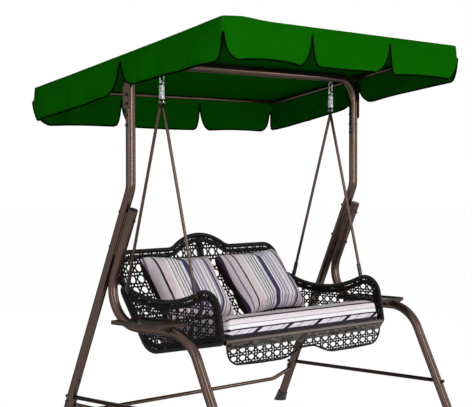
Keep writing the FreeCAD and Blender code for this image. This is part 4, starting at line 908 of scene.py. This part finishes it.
def make_apron():
    """The hanging weave under the seat's front, its thin rim and two plaited rows."""
    edge = outline_of("apron_panel", (0, -1, 0))
    low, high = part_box("apron_panel")
    y = (low.y + high.y) / 2
    line = [Vector((p.x, y, p.z)) for p in resampled(edge, 0.004, True)]
    place = Matrix(((1, 0, 0, 0), (0, 0, -1, y), (0, 1, 0, 0), (0, 0, 0, 1)))
    outline = [(p.x, p.z) for p in line]
    weave = woven_panel("apron_weave", outline, pitch=0.0541, reach=0.62, squeeze=0.64,
                        origin=(0.0115, 0.4317), place=place, Strand_Width=0.0080, Pair_Gap=0.0150)
    ride(weave, "seat", "wicker", "apron_panel")
    axis = grown(line, (0, -1, 0), -0.004)
    rim = grow("apron_rim", path_mesh("apron_rim", [(axis, True)]),
               [(WRAPPED_BAR, {"Bar Radius": 0.0032, "Strand Radius": 0.0014, "Wrap Pitch": 0.0032,
                               "Material": RIM_CANE})])
    ride(rim, "seat", "wicker_rim")
    rail_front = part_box("seat_frame")[0].y
    across = np.linspace(low.x + 0.006, high.x - 0.006, 120)
    rows = [([Vector((x, rail_front - 0.001, high.z + 0.003)) for x in across], False),
            ([Vector((x, y - 0.004, high.z - 0.012)) for x in across], False)]
    values = {"Material": BAND_CANE, "Width": 0.013, "Strand Radius": 0.0026, "Plait Pitch": 0.026}
    band = grow("apron_band", path_mesh("apron_band", rows), [(PLAITED_BAND, values)])
    ride(band, "seat", "wicker_rim")


def make_seat_weave():
    """The weave of the deck, just over its frame."""
    half = ARM_X - RIM_R
    outline = [(-half, 0.012), (half, 0.012), (half, DECK_LENGTH), (-half, DECK_LENGTH)]
    along = Vector((0, math.cos(DECK_SLOPE), -math.sin(DECK_SLOPE)))
    over = Vector((0, math.sin(DECK_SLOPE), math.cos(DECK_SLOPE)))
    start = DECK_FRONT + over * 0.0085
    place = Matrix(((1, along.x, over.x, start.x), (0, along.y, over.y, start.y),
                    (0, along.z, over.z, start.z), (0, 0, 0, 1)))
    weave = woven_panel("seat_weave", outline, pitch=0.060, reach=0.65, origin=(0.0, 0.2), place=place,
                        Strand_Width=0.0085, Pair_Gap=0.012)
    ride(weave, "seat", "wicker", "seat_panel")


# --- canopy -----------------------------------------------------------------
def on_canopy(x, along, above):
    """A point over the tilted plane of the canopy."""
    cos, sin = math.cos(CANOPY_TILT), math.sin(CANOPY_TILT)
    return Vector((x, PIVOT.y + along * cos + above * sin, PIVOT.z - along * sin + above * cos))


DROPS = [0.008, 0.018, 0.028, 0.043, 0.059, 0.075, 0.092, 0.109, 0.124, 0.137, 0.148, 0.157, 0.163, 0.166]
MIDDLE_NOTCH = 0.028
CORNER_NOTCH = 0.059
ACROSS, DEEP = 66, 48                  # cells of the top sheet, across and front to rear
# each flap: how far its two lower corners are swept back, its length at both ends, and its middle's rise
FRONT_FLAPS = ((0.095, 0.066, 1.0, 1.0, 0.06), (0.055, 0.090, 1.0, 0.97, -0.02),
               (0.050, 0.075, 1.0, 0.98, 0.03))
RIGHT_FLAPS = ((0.030, 0.095, 1.0, 0.92, 0.03), (0.100, 0.020, 0.93, 0.96, -0.02))
REAR_FLAPS = ((0.075, 0.060, 0.98, 1.0, 0.03), (0.050, 0.070, 1.0, 0.98, -0.01),
              (0.055, 0.085, 0.97, 1.0, 0.02))
LEFT_FLAPS = ((0.035, 0.105, 0.93, 0.94, -0.01), (0.085, 0.045, 0.87, 1.02, 0.0))
FLAPS = (FRONT_FLAPS, RIGHT_FLAPS, REAR_FLAPS, LEFT_FLAPS)


def notch_inset(drop, apex, sweep):
    """How far a flap's side stands back from the notch at a depth."""
    if drop <= apex:
        return 0.0
    depth = (drop - apex) / (VALANCE - apex)
    return 0.002 + sweep * (1.0 - math.sqrt(max(0.0, 1.0 - depth ** 1.9)))


def canopy_top_grid():
    """The sagging top sheet: its points, its faces and each cell corner's place in the list."""
    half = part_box("canopy_top")[1].x - 0.0015
    points, faces, top = [], [], {}
    for j in range(DEEP + 1):
        along = -CANOPY_FRONT + (CANOPY_FRONT + CANOPY_REAR) * j / DEEP
        bay = abs(along) / (CANOPY_FRONT if along < 0 else CANOPY_REAR)
        for i in range(ACROSS + 1):
            x = -half + 2 * half * i / ACROSS
            belly = math.sin(math.pi * bay) * (1 - (x / half) ** 6) * 0.006
            ripple = noise.noise(Vector((x * 5, along * 7, 2.0))) * 0.0015 * math.sin(math.pi * bay)
            crown = 0.010 * (0.5 - 0.5 * x / half) * (1 - j / DEEP) ** 2
            bump = 0.010 * math.exp(-((x + half - 0.12) / 0.09) ** 2 - (j / DEEP / 0.12) ** 2)
            point = on_canopy(x, along, CANOPY_RISE - belly + ripple + crown + bump)
            if i in (0, ACROSS) or j in (0, DEEP):
                point.z -= 0.0022
            top[i, j] = len(points)
            points.append(point)
    for j in range(DEEP):
        for i in range(ACROSS):
            faces.append((top[i, j], top[i + 1, j], top[i + 1, j + 1], top[i, j + 1]))
    return points, faces, top


def canopy_sheet():
    """One sewn cover: the top, whose edge turns down all round into rounded flaps."""
    points, faces, top = canopy_top_grid()
    ring = [(i, 0) for i in range(ACROSS)] + [(ACROSS, j) for j in range(DEEP)]
    ring += [(i, DEEP) for i in range(ACROSS, 0, -1)] + [(0, j) for j in range(DEEP, 0, -1)]
    corners = [0, ACROSS, ACROSS + DEEP, 2 * ACROSS + DEEP, 2 * (ACROSS + DEEP)]
    outward = [Vector((0, -1, 0)), Vector((1, 0, 0)), Vector((0, 1, 0)), Vector((-1, 0, 0))]
    shares = [(0, 1 / 3, 2 / 3, 1), (0, 0.5, 1), (0, 1 / 3, 2 / 3, 1), (0, 0.5, 1)]
    made = {}
    hems = []
    for edge in range(4):
        first, last = corners[edge], corners[edge + 1]
        stops = [first + round((last - first) * share) for share in shares[edge]]
        start = points[top[ring[first]]].copy()
        end = points[top[ring[last % len(ring)]]].copy()
        length = (end - start).length
        for flap, (left, right) in enumerate(zip(stops, stops[1:])):
            apexes = [CORNER_NOTCH if k in (first, last) else MIDDLE_NOTCH for k in (left, right)]
            grid = {}
            for row, drop in enumerate(DROPS):
                shape = FLAPS[edge][flap]
                ends = [notch_inset(drop, apexes[k], shape[k]) for k in (0, 1)]
                s0 = (left - first) / (last - first) * length + ends[0]
                s1 = (right - first) / (last - first) * length - ends[1]
                for column in range(left, right + 1):
                    k = column % len(ring)
                    side_apex = apexes[0] if column == left else apexes[1]
                    split = column in (left, right) and drop > side_apex + 1e-6
                    key = (k, row, (edge, flap) if split else None)
                    if key not in made:
                        share = (column - left) / (right - left)
                        length_here = shape[2] + (shape[3] - shape[2]) * share
                        length_here -= shape[4] * math.sin(math.pi * share)
                        s = s0 + (s1 - s0) * share
                        made[key] = len(points)
                        points.append(hanging_point(start, end, s / length, s, drop * length_here, edge,
                                                    flap, share, outward[edge]))
                    grid[column, row] = made[key]
            for row in range(len(DROPS)):
                for column in range(left, right):
                    if row:
                        upper = grid[column, row - 1], grid[column + 1, row - 1]
                    else:
                        upper = top[ring[column]], top[ring[(column + 1) % len(ring)]]
                    faces.append((upper[1], upper[0], grid[column, row], grid[column + 1, row]))
            low = len(DROPS) - 3
            rows = range(5, low)
            hem = [(left + 1, row) for row in rows]
            hem += [(column, low) for column in range(left + 1, right)]
            hem += [(right - 1, row) for row in reversed(rows)]
            hems.append([grid[key] for key in hem])
    return points, faces, hems


def hanging_point(start, end, share_along, s, drop, edge, flap, share, out):
    """A point of a valance: straight down from the edge, with a soft bulge and curled sides."""
    depth = drop / VALANCE
    point = start.lerp(end, share_along)
    point.z -= drop
    seed = Vector((s * 6.0 + edge * 7.3, edge * 3.1 + flap, depth * 1.2))
    at_side = edge in (1, 3)
    wave = noise.noise(seed) * (0.020 if at_side else 0.009) * depth
    crinkle = noise.noise(Vector((s * 26.0, edge + flap * 2.0, 4.0)))
    wave += crinkle * (0.006 if at_side else 0.003) * depth
    belly = 0.006 * math.sin(math.pi * min(1.0, depth * 1.05))
    near = min(share, 1 - share)
    curl = -0.010 * depth ** 2 * math.exp(-near / 0.05)
    flare = 0.004 * depth ** 3
    inward = -0.002 if drop < 0.01 else 0.0
    return point + out * (belly + wave + curl + flare + inward)


def make_canopy():
    """The canopy's cloth, with a darker copy of it on the underside as painted shade, the piped edge and the
    stitched hems.
    """
    points, faces, hems = canopy_sheet()
    sheet = show("canopy_sheet", mesh_from("canopy_sheet", points, faces))
    smooth(sheet.data)
    subdivide(sheet)
    plain = bake("canopy_plain", sheet)
    piping = grow("canopy_piping", plain.data.copy(),
                  [(EDGE_PIPING, {"Radius": 0.0040, "Material": PIPING_CLOTH})])
    lines = [(resampled([points[k] for k in hem], 0.006, False), False) for hem in hems]
    stitching = grow("canopy_stitching", path_mesh("hems", lines), [(STITCHES, {"Material": THREAD})])
    plain.data.materials.clear()
    paint(plain, CANOPY_CLOTH, UNDERSIDE_SHADE_CLOTH)
    thick = plain.modifiers.new("cloth", "SOLIDIFY")
    thick.thickness = 0.0014
    thick.offset = 0.0
    # the inner face of the thickened cloth takes the darker copy, which is painted shade
    thick.material_offset = 1
    canopy = bake("canopy", plain)
    smooth(canopy.data)
    ride(canopy, "canopy", "canopy_fabric", "canopy_top", "canopy_valance_front", "canopy_valance_rear",
         "canopy_valance_left", "canopy_valance_right")
    ride(piping, "canopy", "canopy_fabric")
    ride(stitching, "canopy", "canopy_fabric")


# --- springs and rod ends ---------------------------------------------------
def make_springs():
    """Close-wound coils with a hooked end above and below."""
    wire, coil_r, loop_r = 0.0023, 0.0107, 0.0105
    turns, turn_steps = 11, 16
    for name, _ in SIDES:
        low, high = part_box("spring_" + name)
        x, y = (low.x + high.x) / 2, (low.y + high.y) / 2
        top_loop = high.z - loop_r - wire
        low_loop = low.z + loop_r + wire
        coil_top, coil_low = top_loop - loop_r, low_loop + loop_r
        line = [Vector((x, y + loop_r * math.sin(a), low_loop - loop_r * math.cos(a)))
                for a in np.linspace(-1.2 * math.pi, 0.8 * math.pi, 26)]
        for k in range(turns * turn_steps + 1):
            angle = 2 * math.pi * k / turn_steps
            z = coil_low + (coil_top - coil_low) * k / (turns * turn_steps)
            line.append(Vector((x + coil_r * math.sin(angle), y + coil_r * math.cos(angle), z)))
        line += [Vector((x, y + loop_r * math.sin(a), top_loop - loop_r * math.cos(a)))
                 for a in np.linspace(0.2 * math.pi, 2.2 * math.pi, 26)]
        spring = grow("coil_spring_" + name, path_mesh("spring", [(line, False)]),
                      [(ROUND_WIRE, {"Radius": wire, "Sides": 10, "Material": BRIGHT})])
        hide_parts("spring_" + name)
        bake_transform(spring)


def make_rod_sleeves():
    """A dark sleeve over the lower end of each hanging rod."""
    lines = []
    for name, side in SIDES:
        for where, y in ROD_FEET_Y:
            foot_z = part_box("hanger_rod_%s_%s" % (where, name))[0].z
            top = Vector((side * ROD_TOP_X, MID_Y, ROD_TOP_Z))
            foot = Vector((side * ROD_FOOT_X, MID_Y + y, foot_z + 0.008))
            rise = (top - foot).normalized()
            lines.append(([foot + rise * (0.004 + 0.006 * k) for k in range(13)], False))
    sleeves = grow("rod_sleeves", path_mesh("rod_sleeves", lines),
                   [(ROUND_WIRE, {"Radius": 0.0096, "Sides": 20, "Material": SLEEVE})])
    ride(sleeves, "seat", "black_caps")


# --- cushions ---------------------------------------------------------------
def store_place(mesh, values):
    layer = mesh.attributes.new(FLAT_PLACE, "FLOAT_VECTOR", "POINT")
    layer.data.foreach_set("vector", np.asarray(values, dtype=np.float32).ravel())


def inflate(piece, pressure, frames, cap, pinned=None):
    """Blows a closed cloth form up with air, and limits how far any point may move."""
    rest = coordinates(piece.data)
    if pinned is not None:
        group = piece.vertex_groups.new(name="held")
        group.add([int(i) for i in np.nonzero(pinned)[0]], 1.0, "REPLACE")
    cloth_sim = piece.modifiers.new("air", "CLOTH")
    settings = cloth_sim.settings
    settings.use_pressure = True
    settings.uniform_pressure_force = pressure
    settings.effector_weights.gravity = 0.0
    settings.tension_stiffness = 15.0
    settings.compression_stiffness = 15.0
    settings.shear_stiffness = 7.5
    settings.bending_stiffness = 0.4
    settings.quality = 5
    if pinned is not None:
        settings.vertex_group_mass = "held"
    cloth_sim.point_cache.frame_start = 1
    cloth_sim.point_cache.frame_end = frames
    for step in range(1, frames + 1):
        scene.frame_set(step)
    graph = bpy.context.evaluated_depsgraph_get()
    moved = coordinates(piece.evaluated_get(graph).data)
    piece.modifiers.remove(cloth_sim)
    scene.frame_set(1)
    shift = moved - rest
    size = np.linalg.norm(shift, axis=1, keepdims=True)
    move_points(piece.data, rest + shift * np.minimum(1.0, cap / np.maximum(size, 1e-9)))


def closed_pad(name, across, tall, edge_thick, thick, cells):
    """A knife-edged pad in its own XY plane: two faces that meet in a sewn edge."""
    nx, ny = cells
    draw = 0.012
    points, faces, index = [], [], {}
    for face in (1, -1):
        for j in range(ny + 1):
            for i in range(nx + 1):
                u, v = i / nx, j / ny
                rim = i in (0, nx) or j in (0, ny)
                key = (i, j, 0 if rim else face)
                if key in index:
                    continue
                a, b = 2 * u - 1, 2 * v - 1
                crown = ((1 - a ** 4) * (1 - b ** 4)) ** 0.5
                x = a * (across / 2 - draw * (1 - b * b) * abs(a) ** 3)
                y = b * (tall / 2 - draw * (1 - a * a) * abs(b) ** 3)
                index[key] = len(points)
                height = 0.0 if rim else edge_thick + (thick / 2 - edge_thick) * crown
                points.append((x, y, face * height))
    for face in (1, -1):
        for j in range(ny):
            for i in range(nx):
                quad = []
                for p, q in ((i, j), (i + 1, j), (i + 1, j + 1), (i, j + 1)):
                    quad.append(index.get((p, q, face), index.get((p, q, 0))))
                faces.append(tuple(quad if face > 0 else quad[::-1]))
    mesh = mesh_from(name, points, faces)
    mesh.polygons.foreach_set("material_index", [0] * (nx * ny) + [1] * (nx * ny))
    store_place(mesh, [(p[0] + across / 2, p[1] + tall / 2, p[2]) for p in points])
    return mesh


def make_pillows():
    """Two knife-edged pillows that lean on the back, each turned a little."""
    rise = Vector((0, math.cos(PILLOW_LEAN), math.sin(PILLOW_LEAN)))
    over = Vector((0, -math.sin(PILLOW_LEAN), math.cos(PILLOW_LEAN)))
    pillow_axes = np.array([(1, 0, 0), tuple(rise), tuple(over)])
    for name, _ in SIDES:
        low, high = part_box("back_pillow_" + name)
        centre = (low + high) / 2 - rise * PILLOW_DROP
        across = high.x - low.x + PILLOW_OVERHANG
        pillow = show("pillow_" + name,
                      closed_pad("pillow", across, PILLOW_TALL, PILLOW_EDGE, PILLOW_THICK, (44, 42)))
        inflate(pillow, pressure=5.0, frames=16, cap=0.016)
        shape = coordinates(pillow.data)
        cos, sin = math.cos(PILLOW_TURN[name]), math.sin(PILLOW_TURN[name])
        flat = shape.copy()
        flat[:, 0] = shape[:, 0] * cos - shape[:, 1] * sin
        flat[:, 1] = shape[:, 0] * sin + shape[:, 1] * cos
        placed = flat @ pillow_axes + np.array(centre)
        behind = np.interp(placed[:, 2], BACK_Z[RISING], BACK_Y[RISING]) - 0.006
        placed[:, 1] = np.minimum(placed[:, 1], behind)
        move_points(pillow.data, placed)
        smooth(pillow.data)
        shift = PILLOW_REPEAT - PILLOW_FIRST_STRIPE[name]
        paint(pillow, pillow_stripes("pillow stripes " + name, shift), PILLOW_BACK)
        subdivide(pillow)
        pillow = bake("pillow_" + name, pillow)
        ride(pillow, "seat", "striped_fabric", "back_pillow_" + name)


def deck_place(x, along, over):
    """A point over the sloping deck."""
    cos, sin = math.cos(DECK_SLOPE), math.sin(DECK_SLOPE)
    return Vector((x, DECK_FRONT.y + along * cos + over * sin, DECK_FRONT.z - along * sin + over * cos))


def cushion_ring(rear, top_rear, thick):
    """The cushion's outline seen from its end, as along and over values round from the rear bottom."""
    front = CUSHION_FRONT
    line = []
    corners = [((rear, 0.0), 0.018), ((front, 0.0), 0.010), ((front, thick), 0.014),
               ((top_rear, thick), 0.030)]
    count = len(corners)
    for k, (corner, radius) in enumerate(corners):
        here = np.array(corner)
        before = np.array(corners[k - 1][0]) - here
        after = np.array(corners[(k + 1) % count][0]) - here
        before, after = before / np.linalg.norm(before), after / np.linalg.norm(after)
        half_turn = math.acos(float(np.clip(before @ after, -1, 1))) / 2
        reach = radius / math.tan(half_turn)
        middle = here + (before + after) / np.linalg.norm(before + after) * radius / math.sin(half_turn)
        start, end = here + before * reach, here + after * reach
        a0 = math.atan2(*(start - middle)[::-1])
        a1 = math.atan2(*(end - middle)[::-1])
        turn = (a1 - a0 + math.pi) % (2 * math.pi) - math.pi
        for t in np.linspace(0, 1, 6):
            angle = a0 + turn * t
            line.append((middle[0] + radius * math.cos(angle), middle[1] + radius * math.sin(angle)))
    return line


def make_seat_cushion():
    """A pad that fits the deck, blown up with air, with two piped seams along its front."""
    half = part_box("seat_cushion")[1].x - 0.004
    thick = CUSHION_THICK
    ring = [Vector((a, b, 0)) for a, b in cushion_ring(CUSHION_REAR, CUSHION_TOP_REAR, thick)]
    ring = resampled(ring, 0.0125, True)
    start = max(range(len(ring)), key=lambda k: (ring[k].x - ring[k].y * 2))
    ring = ring[start:] + ring[:start]
    count = len(ring)
    cells = 84
    stations = [-half + 2 * half * k / cells for k in range(cells + 1)]
    points, places, faces = [], [], []
    centre = Vector((0.22, thick / 2, 0))
    for x in stations:
        near_end = max(0.0, (abs(x) - (half - 0.026)) / 0.026)
        shrink = 1.0 - 0.055 * near_end ** 2
        for k, p in enumerate(ring):
            q = centre + (p - centre) * shrink
            q.y = p.y + (centre.y - p.y) * 0.30 * near_end ** 2
            points.append(deck_place(x, q.x, CUSHION_BASE + q.y))
            places.append((x, p.x, p.y))
    for s in range(len(stations) - 1):
        for k in range(count):
            a, b = s * count + k, s * count + (k + 1) % count
            faces.append((a, a + count, b + count, b))
    for s, flip in ((0, False), (len(stations) - 1, True)):
        first = s * count
        middle = len(points)
        points.append(sum((points[first + k] for k in range(count)), Vector()) / count)
        places.append((stations[s], 0.2, 0.045))
        for k in range(count):
            tri = (first + k, first + (k + 1) % count, middle)
            faces.append(tri[::-1] if flip else tri)
    mesh = mesh_from("seat_cushion", points, faces)
    work = bmesh.new()
    work.from_mesh(mesh)
    bmesh.ops.recalc_face_normals(work, faces=work.faces)
    work.to_mesh(mesh)
    work.free()
    store_place(mesh, places)
    cushion = show("cushion", mesh)
    held = np.array([p[2] < 0.004 for p in places])
    inflate(cushion, pressure=6.0, frames=14, cap=0.009, pinned=held)
    smooth(cushion.data)
    paint(cushion, seat_stripes())
    subdivide(cushion)
    shape = coordinates(cushion.data)
    seams = []
    for height in (BOXING_TALL, thick - 0.004):
        row = min(range(count), key=lambda k: abs(ring[k].x - CUSHION_FRONT) + abs(ring[k].y - height))
        line = [Vector(shape[s * count + row]) + Vector((0, -0.0012, 0)) for s in range(len(stations))]
        seams.append((resampled(line, 0.006, False), False))
    cushion = bake("cushion", cushion)
    ride(cushion, "seat", "striped_fabric", "seat_cushion")
    piping = grow("cushion_piping", path_mesh("seams", seams),
                  [(ROUND_WIRE, {"Radius": 0.0026, "Material": PIPING_CLOTH})])
    ride(piping, "seat", "striped_fabric")


def seat_stripes():
    """Cushion cloth: long stripes over the top and front, slanted ticking on the lower front band, and a
    near-black strip along the bottom of the front that is painted shade from the rail.
    """
    material, graph, shader = new_material("cushion stripes")
    place = graph.add("ShaderNodeAttribute", attribute_name=FLAT_PLACE).outputs["Vector"]
    x, along, over = graph.parts(place)
    slant = graph.math("MULTIPLY", graph.math("SQRT", graph.math("MAXIMUM", over, 0.0)), -0.7)
    slanted = graph.math("ADD", graph.math("ADD", x, 0.05), slant)
    values = {"Along": slanted, "Repeat": BOXING_REPEAT}
    boxing = mixed(graph, 0.5, use_group(graph, TICKING_STRIPES, values)["Color"], from_hex("f4ecf4"))
    turn = graph.math("FRACT", graph.math("DIVIDE", slanted, BOXING_REPEAT))
    boxing = mixed(graph, graph.math("LESS_THAN", turn, 0.16), boxing, from_hex("140f24"))
    # a near-black strip along the bottom of the front: painted shade just above the rail, not a sewn hem
    hem = graph.math("LESS_THAN", over, 0.015)
    boxing = mixed(graph, hem, boxing, from_hex("15111e"))
    bands = [(0.0, "fefafc"), (0.64, "7d747e"), (0.665, "f2e4ea"), (0.94, "4a4048"), (0.965, "f0dfe6")]
    face = stepped_ramp(graph, graph.math("DIVIDE", over, CUSHION_THICK), bands)
    values = {"Along": graph.math("ADD", along, 0.285), "Repeat": CUSHION_REPEAT}
    top = use_group(graph, TICKING_STRIPES, values)["Color"]
    face = mixed(graph, graph.math("GREATER_THAN", along, FACE_DEEP), face, top)
    below_seam = graph.math("LESS_THAN", over, BOXING_TALL)
    lower = graph.math("MULTIPLY", below_seam, graph.math("LESS_THAN", along, FACE_DEEP))
    ticking_cloth(graph, shader, place, mixed(graph, lower, face, boxing), 0.06)
    return material


# --- room, light and camera -------------------------------------------------
def seen_directly(graph):
    """One for rays from the camera, a mirror or glass, and zero for light that bounces."""
    path = graph.add("ShaderNodeLightPath")
    seen = graph.math("MAXIMUM", path.outputs["Is Camera Ray"], path.outputs["Is Glossy Ray"])
    return graph.math("MAXIMUM", seen, path.outputs["Is Transmission Ray"])


def make_floor():
    reach = 30
    corners = [(-reach, -reach, 0), (reach, -reach, 0), (reach, reach, 0), (-reach, reach, 0)]
    floor = show("floor", mesh_from("floor", corners, faces=[(0, 1, 2, 3)]))
    material = bpy.data.materials.new("pale floor")
    graph = empty_graph(material)
    lit = graph.add("ShaderNodeBsdfDiffuse", {"Color": (0.88, 0.88, 0.88, 1)}).outputs[0]
    glow = graph.add("ShaderNodeEmission", {"Color": (1, 1, 1, 1), "Strength": 1.02}).outputs[0]
    share = graph.math("MULTIPLY", seen_directly(graph), 0.965)
    mix = graph.add("ShaderNodeMixShader", {0: share, 1: lit, 2: glow}).outputs[0]
    graph.add("ShaderNodeOutputMaterial", {"Surface": mix})
    paint(floor, material)


def make_world():
    """White to look at, and a soft cool light for the rest."""
    world = bpy.data.worlds.new("studio")
    scene.world = world
    graph = empty_graph(world)
    soft = graph.add("ShaderNodeBackground", {"Color": (0.95, 0.97, 1.0, 1), "Strength": 0.27}).outputs[0]
    white = graph.add("ShaderNodeBackground", {"Color": (1, 1, 1, 1), "Strength": 1.0}).outputs[0]
    mix = graph.add("ShaderNodeMixShader", {0: seen_directly(graph), 1: soft, 2: white}).outputs[0]
    graph.add("ShaderNodeOutputWorld", {"Surface": mix})


def add_lamp(name, place, target, size, power):
    """A rectangular lamp that faces its target."""
    lamp = bpy.data.lights.new(name, "AREA")
    lamp.shape = "RECTANGLE"
    lamp.size, lamp.size_y = size
    lamp.energy = power
    holder = bpy.data.objects.new(name, lamp)
    scene.collection.objects.link(holder)
    holder.location = place
    aim = Vector(target) - Vector(place)
    holder.rotation_euler = aim.to_track_quat("-Z", "Y").to_euler()


def make_lights():
    add_lamp("key", (-1.6, -5.2, 3.4), (0, 0, 0.9), (2.2, 1.8), 62)
    add_lamp("front strip", (-1.9, -5.6, 1.25), (0, 0, 1.1), (0.9, 2.4), 128)
    add_lamp("left strip", (-5.0, -0.8, 1.7), (0, 0, 1.0), (0.8, 3.0), 32)
    add_lamp("right strip", (4.2, -3.4, 1.8), (0, 0, 1.0), (0.6, 3.0), 45)
    add_lamp("rear", (1.0, 4.8, 3.4), (0, 0, 1.0), (3.0, 1.6), 56)


def make_camera():
    camera = bpy.data.cameras.new("camera")
    camera.sensor_width = 36.0
    camera.sensor_fit = "HORIZONTAL"
    camera.lens = 98.13
    camera.clip_start, camera.clip_end = 0.1, 100.0
    holder = bpy.data.objects.new("camera", camera)
    scene.collection.objects.link(holder)
    holder.location = (-4.3295, -4.0826, 1.2269)
    holder.rotation_euler = (math.radians(88.5), math.radians(0.07), -0.7997)
    scene.camera = holder


# --- assembly ---------------------------------------------------------------
make_camera()
make_floor()
make_world()
make_lights()
paint_cad_nodes()
make_canopy()
make_springs()
make_rod_sleeves()
make_back()
make_arms()
make_apron()
make_seat_weave()
make_seat_cushion()
make_pillows()
scene.view_settings.view_transform = "Standard"
